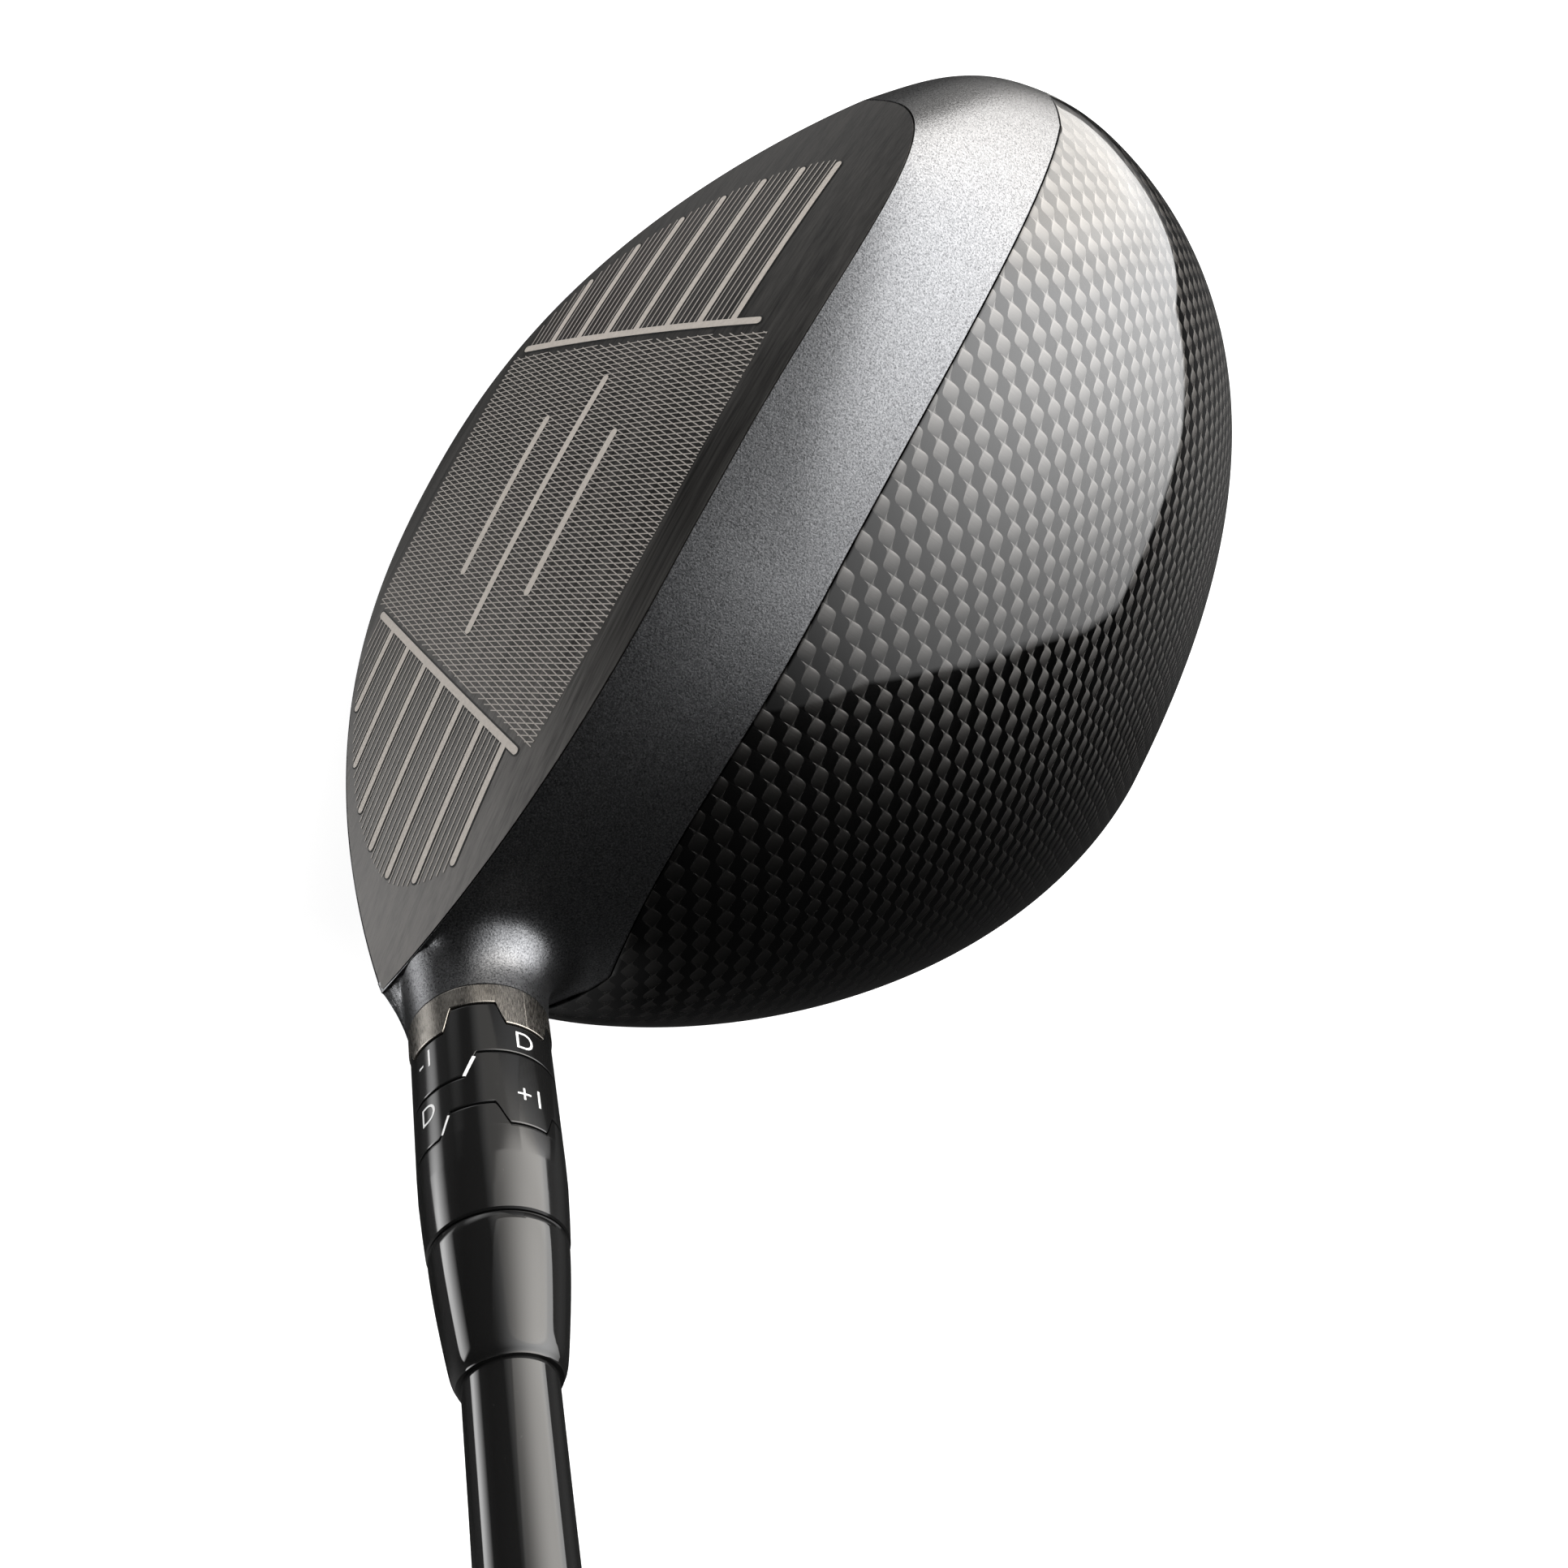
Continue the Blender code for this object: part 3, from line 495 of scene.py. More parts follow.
def face_outline(turn):
    powers = ((2.3, 1.0), (6.0, 3.0), (2.2, 1.05), (2.4, 1.05))
    wide, tall = powers[int((turn % (2 * math.pi)) // (math.pi / 2)) % 4]
    c, s = math.cos(turn), math.sin(turn)
    across = FACE_HEEL if c > 0 else FACE_TOE
    up = FACE_TOP if s > 0 else FACE_BOTTOM
    return np.array([
        FACE_CENTRE[0] + math.copysign(across * abs(c) ** (2 / wide), c),
        FACE_CENTRE[1] + math.copysign(up * abs(s) ** (2 / tall), s),
    ])


def inset_outline(turn, inset):
    along = face_outline(turn + 0.01) - face_outline(turn - 0.01)
    along /= np.linalg.norm(along)
    moved = face_outline(turn) + inset * np.array([-along[1], along[0]])
    tip = face_outline(0.0) - (2 * inset, 0.0)
    return tip if moved[0] > tip[0] else moved


def toe_x(y):
    """The toe side of the rim."""
    if y < TOE_WIDEST_Y:
        return RIDGE_X - TOE_REACH + 0.0175 * ((TOE_WIDEST_Y - y) / 0.032) ** 2.2
    t = min(1.0, (y - TOE_WIDEST_Y) / (REAR_Y - TOE_WIDEST_Y))
    return RIDGE_X - TOE_REACH * math.sqrt(1 - t * t)


def heel_x(y):
    """The heel side of the rim."""
    t = min(1.0, max(0.0, y - HEEL_WIDEST_Y) / (REAR_Y - HEEL_WIDEST_Y))
    return RIDGE_X + HEEL_REACH * (1 - t**HEEL_POWER) ** (1 / HEEL_POWER)


def ridge_x(y):
    """The line where the crown is highest."""
    return -0.003 - 0.012 * min(1.0, max(0.0, y / REAR_Y))


def crown_line(y):
    return CROWN_TOP - (CROWN_TOP - RIM_REAR) * ((y - 0.012) / (REAR_Y - 0.012)) ** 2


def sole_line(y):
    if y < 0.005:
        return SOLE_LOW + 0.0047 * ((0.005 - y) / 0.028) ** 2.2
    return SOLE_LOW + (RIM_REAR - SOLE_LOW) * ((y - 0.005) / (REAR_Y - 0.005)) ** 2


def rim_z(y, toe):
    if toe:
        return RIM_TOE - (RIM_TOE - RIM_REAR) * (max(0.0, y - TOE_WIDEST_Y) / (REAR_Y - TOE_WIDEST_Y)) ** 2
    return RIM_HEEL - (RIM_HEEL - RIM_REAR) * (max(0.0, y - HEEL_WIDEST_Y) / (REAR_Y - HEEL_WIDEST_Y)) ** 2


def height(x, y, top):
    """How high the crown (top) or the sole is."""
    ridge = ridge_x(y)
    toe = x < ridge
    reach = max(1e-6, ridge - toe_x(y) if toe else heel_x(y) - ridge)
    wide, tall = CROWN_POWERS if top else SOLE_POWERS
    part = max(0.0, 1 - min(1.0, abs(x - ridge) / reach) ** wide) ** (1 / tall)
    rim = rim_z(y, toe)
    return rim + ((crown_line(y) if top else sole_line(y)) - rim) * part


def section(y, turn):
    """The point of the head's cross-section at y, at a turn from the heel over the crown."""
    c, s = math.cos(turn), math.sin(turn)
    wide, tall = CROWN_POWERS if s > 0 else SOLE_POWERS
    ridge = ridge_x(y)
    side = heel_x(y) - ridge if c > 0 else ridge - toe_x(y)
    rim = rim_z(y, c < 0)
    line = crown_line(y) if s > 0 else sole_line(y)
    return np.array([
        ridge + math.copysign(side * abs(c) ** (2 / wide), c),
        y,
        rim + (line - rim) * abs(s) ** (2 / tall),
    ])


def edge_y(turn):
    """Where the painted body ends, at a turn round the head."""
    c, s = math.cos(turn), math.sin(turn)
    if s > 0:
        side = (c / 0.82) ** 3.8 if c > 0 else (-c / 0.90) ** 1.8
        return CROWN_EDGE_Y + (SIDE_EDGE_Y - CROWN_EDGE_Y) * min(1.0, side)
    low = min(1.0, max(0.0, (-s - EDGE_SWEEP[0]) / (EDGE_SWEEP[1] - EDGE_SWEEP[0])))
    return SIDE_EDGE_Y + (SOLE_EDGE_Y - SIDE_EDGE_Y) * low * low * (3 - 2 * low)


def band_point(turn, t):
    """The painted body between the face outline, t = 0, and its rear edge, t = 1."""
    across, up = face_outline(turn)
    start = face_point(across, up)
    y = edge_y(turn)
    end = section(y, turn)
    chord = np.linalg.norm(end - start)
    outward = np.array([math.cos(turn), 0.0, math.sin(turn) * 0.6])
    leave = (end - start) + 0.30 * chord * outward
    arrive = (section(y + 1e-4, turn) - section(y - 1e-4, turn)) / 2e-4 * chord
    h00, h10 = 2 * t**3 - 3 * t**2 + 1, t**3 - 2 * t**2 + t
    h01, h11 = -2 * t**3 + 3 * t**2, t**3 - t**2
    return h00 * start + h10 * leave + h01 * end + h11 * arrive


# ---- The head ------------------------------------------------------------------------------------


def smooth_near(mesh, weight, rounds):
    """Relaxes a mesh where weight, one number per vertex, is above zero."""
    points = np.empty(len(mesh.vertices) * 3)
    mesh.vertices.foreach_get("co", points)
    points = points.reshape(-1, 3)
    edges = np.empty(len(mesh.edges) * 2, np.int64)
    mesh.edges.foreach_get("vertices", edges)
    one, two = edges.reshape(-1, 2).T
    keep = (weight[one] > 0) | (weight[two] > 0)
    one, two = one[keep], two[keep]
    count = np.bincount(one, minlength=len(points)) + np.bincount(two, minlength=len(points))
    count = np.maximum(count, 1)[:, None]
    for _ in range(rounds):
        total = np.zeros_like(points)
        for axis in range(3):
            total[:, axis] = np.bincount(one, points[two, axis], len(points))
            total[:, axis] += np.bincount(two, points[one, axis], len(points))
        points += 0.6 * weight[:, None] * (total / count - points)
    mesh.vertices.foreach_set("co", points.ravel())
    mesh.update()


def neck_radius(s):
    """The neck under the collar, flaring towards the head."""
    down = max(0.0, NECK_TOP - s)
    return COLLAR_R - 0.00005 + 0.00135 * (down / 0.0114) ** 1.3


def neck_web(look):
    """The flat that runs from the face's heel end up to the front of the neck."""
    corners = []
    for turn in np.radians(np.linspace(-34, 30, 33)):
        corners += [band_point(turn, 0.06), band_point(turn, 0.35)]
    for angle in np.radians(range(60, 226, 3)):
        corners.append(hosel_at(NECK_TOP - 0.0004, COLLAR_R - 0.00012, angle))
    for corner in corners:
        corner[1] = max(corner[1], face_y(corner) + FACE_CLEAR)
    shape = bmesh.new()
    for corner in corners:
        shape.verts.new(corner)
    bmesh.ops.convex_hull(shape, input=shape.verts)
    loose = [v for v in shape.verts if not v.link_faces]
    bmesh.ops.delete(shape, geom=loose, context="VERTS")
    for _ in range(2):
        bmesh.ops.subdivide_edges(shape, edges=[e for e in shape.edges if e.calc_length() > 0.0012], cuts=2)
        bmesh.ops.triangulate(shape, faces=shape.faces)
    mesh = bpy.data.meshes.new("web")
    shape.to_mesh(mesh)
    shape.free()
    mesh.materials.append(look)
    web = bpy.data.objects.new("web", mesh)
    bpy.context.scene.collection.objects.link(web)
    return web


def head_band(look):
    """The painted titanium body, from the face's edge back to the panels, blended into the hosel neck."""
    columns = BAND_COLUMNS
    rows = 64
    turns = [2 * math.pi * k / columns for k in range(columns)]
    grid = np.array([[band_point(turn, t) for turn in turns] for t in np.linspace(0, 1, rows)])
    normal = grid_normals(grid, True)
    outer = rounded(grid, True, (False, True))
    inner = grid - SHELL_THICK * normal
    loop = np.concatenate([outer, inner[::-1]])
    faces, last = grid_faces(len(loop), columns, True), (len(loop) - 1) * columns
    for j in range(columns):
        k = (j + 1) % columns
        faces.append((last + j, last + k, k, j))
    points = loop.reshape(-1, 3)
    band = mesh_piece("head_band", points, faces, look, "head", ("titanium_body",), turn_out=True)
    profile = [(neck_radius(s), s) for s in np.linspace(NECK_TOP, NECK_FOOT, 24)]
    profile = [(0.0, NECK_TOP)] + profile + [(0.0, NECK_FOOT)]
    neck = lathe("neck", profile, look, "head", count=96, soft=0)
    shell = BVHTree.FromObject(band, bpy.context.evaluated_depsgraph_get())
    web = neck_web(look)
    web_shell = BVHTree.FromObject(web, bpy.context.evaluated_depsgraph_get())
    for other in (neck, web):
        cut = band.modifiers.new("neck", "BOOLEAN")
        cut.object = other
        cut.operation = "UNION"
        cut.use_self = True
        graph = bpy.context.evaluated_depsgraph_get()
        joined = bpy.data.meshes.new_from_object(band.evaluated_get(graph))
        band.modifiers.clear()
        band.data = joined
        bpy.data.objects.remove(other)
    weight = np.zeros(len(joined.vertices))
    for vertex in joined.vertices:
        local = vertex.co - HOSEL_POINT
        s = local.dot(HOSEL_DIR)
        r = (local - HOSEL_DIR * s).length
        if r < 0.020 and -0.012 < s < NECK_TOP - 0.0003:
            far_neck = abs(r - neck_radius(s))
            far_shell = shell.find_nearest(vertex.co)[3]
            far_web = web_shell.find_nearest(vertex.co)[3]
            far = sorted((far_neck, far_shell, far_web))[1]
            behind = vertex.co.y - face_y(vertex.co)
            weight[vertex.index] = max(0.0, 1 - far / 0.0050) * min(1.0, (NECK_TOP - 0.0003 - s) / 0.002)
            weight[vertex.index] *= min(1.0, max(0.0, (behind - FACE_CLEAR) / 0.0016))
    smooth_near(joined, weight, 160)
    joined.shade_smooth()
    joined.set_sharp_from_angle(angle=math.radians(38))
    return band


def face_pieces(look, ivory, fine, groove_shadow_paint):
    """The face plate, with its score lines, painted shadows along their grooves, and the net between its two
    slanted bars.
    """
    rings, columns = 40, 360
    middle = np.array(FACE_CENTRE)
    edge = [inset_outline(2 * math.pi * (k + 0.5) / columns, FACE_SEAM) for k in range(columns)]
    rows = []
    for part in np.linspace(0.01, 1, rings):
        rows.append([face_point(*(middle + part * (spot - middle)), SKIN_LIFT) for spot in edge])
    back = [p + np.array([0, SHELL_THICK, 0]) for p in rows[-1]]
    grid = np.array(rows + [back])
    faces = grid_faces(len(grid), columns, True) + [tuple(range(columns))]
    points = grid.reshape(-1, 3)
    mesh_piece("face_skin", points, faces, look, "head", ("face_plate",), sharp=40, turn_out=True)

    wide, thin, painted_shade = Strips(0.00011), Strips(0.00009), Strips(0.00007)

    def score(a0, b0, a1, b1, width=0.00086):
        wide.add((a0, b0), (a1, b1), width)
        # painted shadow: a wider dark strip under each score line
        painted_shade.add((a0, b0), (a1, b1), width + 0.00036)

    pitch, first = 0.00495, 0.01028
    for side, inner in ((-1, toe_bar), (1, heel_bar)):
        for line in range(7):
            b = first - pitch * line
            score(side * inner(b), b, side * tip_curve(side, b), b)
            for part in range(1, 6):
                below = b - pitch * part / 6
                if below > -0.0236:
                    tip = tip_curve(side, below) + 0.0006
                    thin.add((side * inner(below), below), (side * tip, below), 0.00017)
    score(-0.0254, 0.0140, -0.0182, -0.0240)
    score(0.0254, 0.0124, 0.0175, -0.0235)
    middle = first - 3 * pitch
    score(-0.0157, middle, 0.0157, middle, 0.00098)
    score(-0.0097, middle + 0.0069, 0.0097, middle + 0.0069, 0.00098)
    score(-0.0097, middle - 0.0064, 0.0097, middle - 0.0064, 0.00098)
    for slope in (-0.25, 0.25):
        for k in range(-60, 61):
            for run in net_runs(k * 0.00067, slope):
                thin.add(run[0], run[1], 0.00012)
    wide.piece("score_lines", ivory)
    thin.piece("fine_score_lines", fine)
    painted_shade.piece("score_line_groove_shadows", groove_shadow_paint)


def toe_bar(b):
    return 0.0228 + 0.1895 * b


def heel_bar(b):
    return 0.0227 + 0.2200 * b


def tip_curve(side, b):
    """How far out the score lines reach, on the toe side (-1) and the heel side (1)."""
    if side < 0:
        drop = min(1.0, max(0.0, (0.0103 - b) / 0.0343))
        return 0.0190 + 0.0268 * (1 - drop**1.5) ** 0.667
    if b > 0.0008:
        return 0.0428 - 51 * (b - 0.0008) ** 2
    drop = min(1.0, (0.0008 - b) / 0.0250)
    return 0.0180 + 0.0248 * (1 - drop**1.5) ** 0.667


def net_runs(start, slope):
    """The stretches of one slanted line of the net that lie between the bars."""
    runs, opened, last = [], None, None
    for b in np.arange(-0.0254, 0.0172, 0.00010):
        a = start + slope * b
        top = 0.01695 - (3.4 if a > -0.003 else 1.4) * (a + 0.003) ** 2
        inside = -(0.0214 + 0.177 * b) < a < 0.0215 + 0.204 * b and b < top
        if inside:
            last = (a, b)
            opened = opened or last
        elif opened:
            runs.append((opened, last))
            opened = None
    if opened:
        runs.append((opened, last))
    return [run for run in runs if run[1][1] - run[0][1] > 0.0004]


class Strips:
    """Thin painted strips with round ends that follow the face's bulge."""

    def __init__(self, lift):
        self.lift, self.points, self.faces = lift, [], []

    def add(self, start, end, width):
        start, end = np.array(start), np.array(end)
        length = np.linalg.norm(end - start)
        if length < 0.0005:
            return
        along = (end - start) / length
        side = np.array([-along[1], along[0]]) * width / 2
        steps = max(1, int(length / 0.0025))
        left = [start + (end - start) * k / steps + side for k in range(steps + 1)]
        right = [start + (end - start) * k / steps - side for k in range(steps + 1)]
        base = len(self.points)
        self.points += [face_point(*p, self.lift) for p in left + right]
        for k in range(steps):
            self.faces.append((base + k, base + steps + 1 + k, base + steps + 2 + k, base + k + 1))
        for middle, first, sign in ((start, 0, -1), (end, steps, 1)):
            cap = [base + first, base + steps + 1 + first]
            fan = []
            for k in range(1, 6):
                angle = math.pi * k / 6
                fan.append(middle + side * math.cos(angle) + sign * along * width / 2 * math.sin(angle))
            first_fan = len(self.points)
            self.points += [face_point(*p, self.lift) for p in fan]
            self.faces.append((cap[0], *range(first_fan, first_fan + 5), cap[1]))

    def piece(self, name, look):
        made = mesh_piece(name, self.points, self.faces, look, "head", turn_out=False)
        shape = bmesh.new()
        shape.from_mesh(made.data)
        for face in shape.faces:
            face.normal_update()
            if face.normal.y > 0:
                face.normal_flip()
        shape.to_mesh(made.data)
        shape.free()
        return made


def rim_points(count, inset, front):
    """The plan of the rim from the heel round the back to the toe, inset towards the middle."""
    found = []
    for k in range(-count, count + 1):
        swing = math.cos(math.pi / 2 * k / count)
        y = front + (REAR_Y - front) * swing
        x = heel_x(y) if k < 0 else toe_x(y)
        if k == 0:
            x = RIDGE_X
        inward = np.array([RIM_MIDDLE[0] - x, min(0.0, RIM_MIDDLE[1] - y)])
        found.append(np.array([x, y]) + inset * inward / np.linalg.norm(inward))
    return found


def body_edge(rim, top):
    """The plan of the body's rear edge from toe to heel, a seam behind it, between the ends of a rim."""
    turns = [2 * math.pi * k / BAND_COLUMNS for k in range(BAND_COLUMNS)]
    turns = [turn for turn in reversed(turns) if turn < math.pi] if top else [t for t in turns if t > math.pi]
    found = [section(edge_y(turn), turn)[:2] + (0.0, SEAM) for turn in turns]
    return [p for p in found if rim[-1][0] + 0.0003 < p[0] < rim[0][0] - 0.0003]


def arc_map(points):
    """UV in millimetres that follows the length over the curved surface, from its middle."""
    points = np.asarray(points)
    uv = []
    for x, y, z in points:
        stretch_x = 1 + 0.10 * ((x + 0.008) / 0.060) ** 2 + 0.25 * (abs(x + 0.008) / 0.066) ** 6
        stretch_y = 1 + 0.55 * (max(0.0, y) / REAR_Y) ** 2
        uv.append(((x + 0.008) * stretch_x * 1000, y * stretch_y * 1000))
    return uv


def panel(name, outline, top, look, replaces, rings):
    middle = np.mean(outline, axis=0)
    rows = []
    for k in range(rings + 1):
        part = 0.02 + 0.98 * (k / rings) ** 0.8
        plan = [middle + part * (p - middle) for p in outline]
        rows.append([(x, y, height(x, y, top)) for x, y in plan])
    grid = rounded(np.array(rows), True, (False, True))
    faces = grid_faces(len(grid), grid.shape[1], True) + [tuple(range(grid.shape[1]))]
    points = grid.reshape(-1, 3)
    uv = arc_map(points)
    return mesh_piece(name, points, faces, look, "head", replaces, uv, 40, turn_out=True)


def head_panels(carbon, sole_carbon, skirt):
    count = 150
    rim = rim_points(count, CROWN_INSET, SIDE_EDGE_Y + SEAM)
    panel("crown_skin", rim + body_edge(rim, True), True, carbon, ("crown_panel",), 90)
    rim = rim_points(count, SOLE_INSET, SIDE_EDGE_Y + SEAM)
    sole = panel("sole_skin", rim + body_edge(rim, False), False, sole_carbon, ("sole_panel",), 40)
    cut_hole(sole, REAR_PORT, REAR_PORT_TILT, REAR_HOLE_R)
    lines = []
    for inset in (0.0010, 0.0005, 0.0001):
        lines.append([(x, y, height(x, y, True)) for x, y in rim_points(count, inset, SIDE_EDGE_Y + SEAM)])
    lines.append([(x, y, rim_z(y, x < ridge_x(y))) for x, y in rim_points(count, 0.0, SIDE_EDGE_Y + SEAM)])
    for part in (0.01, 0.04, 0.1, 0.18, 0.28, 0.4, 0.52, 0.64, 0.76, 0.88, 1.0):
        inset = (SOLE_INSET - SEAM) * part
        lines.append([(x, y, height(x, y, False)) for x, y in rim_points(count, inset, SIDE_EDGE_Y + SEAM)])
    grid = rounded(np.array(lines), False)
    points = grid.reshape(-1, 3)
    mesh_piece("skirt_skin", points, grid_faces(len(grid), grid.shape[1], False), skirt, "head",
               ("skirt_ring",), arc_map(points), 40, turn_out=True)


def cut_hole(piece, point, tilt, radius):
    """Opens a round hole in a sole piece, straight through it."""
    bpy.ops.mesh.primitive_cylinder_add(vertices=96, radius=radius, depth=0.02)
    cutter = bpy.context.object
    cutter.matrix_world = Matrix.Translation(point) @ Matrix.Rotation(tilt, 4, "X")
    modifier = piece.modifiers.new("hole", "BOOLEAN")
    modifier.object = cutter
    modifier.operation = "DIFFERENCE"
    bpy.context.view_layer.update()
    graph = bpy.context.evaluated_depsgraph_get()
    made = bpy.data.meshes.new_from_object(piece.evaluated_get(graph))
    piece.modifiers.clear()
    piece.data = made
    bpy.data.objects.remove(cutter)
    shape = bmesh.new()
    shape.from_mesh(made)
    middles = [(face, face.calc_center_median()) for face in shape.faces]
    outside = [face for face, at in middles if at.z < height(at.x, at.y, False) - 0.0001]
    bmesh.ops.delete(shape, geom=outside, context="FACES")
    shape.to_mesh(made)
    shape.free()


# ---- The hosel -----------------------------------------------------------------------------------


def smooth_wave(angle, period, low_from, low_to, flank):
    """0 between low_from and low_to degrees, 1 in the rest of the period, with soft flanks."""
    turn = (angle - low_from) % period
    width = low_to - low_from
    if turn <= width:
        return 0.0
    part = min(1.0, (turn - width) / flank, (period - turn) / flank)
    return part * part * (3 - 2 * part) * 0.4 + part * 0.6


def notch(angle):
    """The toothed line between the collar and the lower cog."""
    return COLLAR_TOP - TOOTH * (1 - smooth_wave(angle, 90, 26, 62, 8))


def step_line(angle):
    """The stepped line between the two cogs."""
    return COG_STEP + STEP * smooth_wave(angle, 180, -46, 44, 11)


def second_line(angle):
    """The stepped line near the top of the upper cog."""
    return SECOND_LINE + 0.0025 * smooth_wave(angle, 90, 33, 69, 11)


def ring_piece(name, inner, outer, low, high, look, body, replaces=(), end_bevel=RING_BEVEL):
    """A ring about the hosel axis whose two ends follow low(angle) and high(angle), with small bevels."""
    count, bevel, outlines = 360, RING_BEVEL, []
    for k in range(count):
        a, b = low(360.0 * k / count), high(360.0 * k / count)
        outlines.append([
            (inner, a), (outer - bevel, a), (outer - bevel * 0.3, a + bevel * 0.3), (outer, a + bevel),
            (outer, a + bevel * 2), (outer, a + (b - a) * 0.35), (outer, a + (b - a) * 0.65),
            (outer, b - end_bevel * 2), (outer, b - end_bevel),
            (outer - end_bevel * 0.3, b - end_bevel * 0.3), (outer - end_bevel, b), (inner, b),
            (inner, (a + b) / 2), (inner, a),
        ])
    rows, uv = [], []
    for profile in zip(*outlines):
        rows.append([hosel_at(s, r, math.radians(360.0 * k / count)) for k, (r, s) in enumerate(profile)])
        uv += [(k * ROUND_MM / count, s * 1000) for k, (_, s) in enumerate(profile)]
    return grid_piece(name, np.array(rows), True, look, body, replaces, uv, 30)


def wrapped_text(name, words, angle, s, look, body):
    """A dial mark, drawn with the built-in font and wrapped around a cog. Its letters stand up the shaft."""
    curve = bpy.data.curves.new(name, "FONT")
    curve.body = words
    curve.align_x = "CENTER"
    curve.align_y = "CENTER"
    curve.size = DIAL_SIZE
    curve.offset = -DIAL_SIZE * 0.006
    letters = bpy.data.objects.new(name + "_curve", curve)
    bpy.context.scene.collection.objects.link(letters)
    bpy.context.view_layer.update()
    mesh = bpy.data.meshes.new_from_object(letters.evaluated_get(bpy.context.evaluated_depsgraph_get()))
    bpy.data.objects.remove(letters)
    shape = bmesh.new()
    shape.from_mesh(mesh)
    bmesh.ops.triangulate(shape, faces=shape.faces)
    bmesh.ops.subdivide_edges(shape, edges=shape.edges, cuts=1)
    for vertex in shape.verts:
        turn = math.radians(angle) - vertex.co.x / COG_R
        vertex.co = hosel_at(s - vertex.co.y, COG_R + MARK_LIFT, turn)
    shape.to_mesh(mesh)
    shape.free()
    mesh.materials.append(look)
    piece = bpy.data.objects.new(name, mesh)
    bpy.context.scene.collection.objects.link(piece)
    return attach(piece, body)


def tick(name, start, end, width, look, body):
    """A painted line on a cog from one (angle, s) to another."""
    points, steps = [], 8
    run = np.array([math.radians(end[0] - start[0]) * COG_R, end[1] - start[1]])
    side = np.array([-run[1], run[0]]) / np.linalg.norm(run) * width / 2
    for sign in (1, -1):
        for k in range(steps + 1):
            part = k / steps
            turn = math.radians(start[0] + (end[0] - start[0]) * part) + sign * side[0] / COG_R
            s = start[1] + (end[1] - start[1]) * part + sign * side[1]
            points.append(hosel_at(s, COG_R + TICK_LIFT, turn))
    faces = [(k, k + 1, steps + 2 + k, steps + 1 + k) for k in range(steps)]
    return mesh_piece(name, points, faces, look, body)


def hosel_parts(titanium, black, marks, groove_shadow_paint):
    def cog(name, low, high, body, replaces=(), end_bevel=RING_BEVEL):
        ring_piece(name, COG_INNER_R, COG_R, low, high, black, body, replaces, end_bevel)

    ring_piece("collar_ring", COLLAR_INNER_R, COLLAR_R, lambda a: NECK_TOP + 0.00010, notch, titanium, "head",
               ("hosel_collar",))
    cog("lower_ring", lambda a: notch(a) + RING_SEAM, lambda a: step_line(a) - RING_SEAM, "lower_cog",
        ("lower_cog",))
    cog("upper_ring", lambda a: step_line(a) + RING_SEAM, lambda a: second_line(a) - RING_SEAM, "upper_cog",
        ("upper_cog",))
    cog("upper_ring_teeth", lambda a: second_line(a) + RING_SEAM, lambda a: SLEEVE_FOOT, "upper_cog",
        end_bevel=0.00001)
    for turn in (0, 180):
        side = str(turn)
        for name, words, angle, height_up in DIAL_MARKS:
            body = name.split("_")[0] + "_cog"
            wrapped_text("mark_" + name + "_" + side, words, turn + angle, height_up, marks, body)
        tick("tick_lower_" + side, (turn + 46, 0.0269), (turn + 55, 0.0291), 0.00036, marks, "upper_cog")
        tick("tick_upper_" + side, (turn + 70, 0.0331), (turn + 77, 0.0350), 0.00024, marks, "upper_cog")


def sleeve_and_ferrule(black, ferrule):
    sleeve = [(COG_R, SLEEVE_FOOT), (SLEEVE_R, 0.0385), (0.0067, 0.0420),
              (0.0065, FERRULE_FOOT - 0.00012), (0.0050, FERRULE_FOOT - 0.00012)]
    lathe("sleeve_skin", sleeve, black, "club_shaft")
    body = [(0.0050, FERRULE_FOOT), (FERRULE_R, FERRULE_FOOT)]
    for part in np.linspace(0.1, 1, 10):
        r = FERRULE_R + (FERRULE_TIP_R + 0.0003 - FERRULE_R) * part**1.35
        body.append((r, FERRULE_FOOT + (FERRULE_END - 0.0022 - FERRULE_FOOT) * part))
    lip = [(FERRULE_TIP_R + 0.00015, FERRULE_END - 0.0013), (FERRULE_TIP_R - 0.00005, FERRULE_END - 0.0006),
           (FERRULE_TIP_R - 0.00035, FERRULE_END - 0.0001), (0.0046, FERRULE_END), (0.0040, FERRULE_END)]
    lathe("ferrule_skin", body + lip, ferrule, "club_shaft", ("ferrule",), sharp=50)


def shaft_radius(s):
    t = max(0.0, (s - 0.075) / (BUTT - 0.075))
    return SHAFT_TIP_R + (SHAFT_BUTT_R - SHAFT_TIP_R) * t**0.85


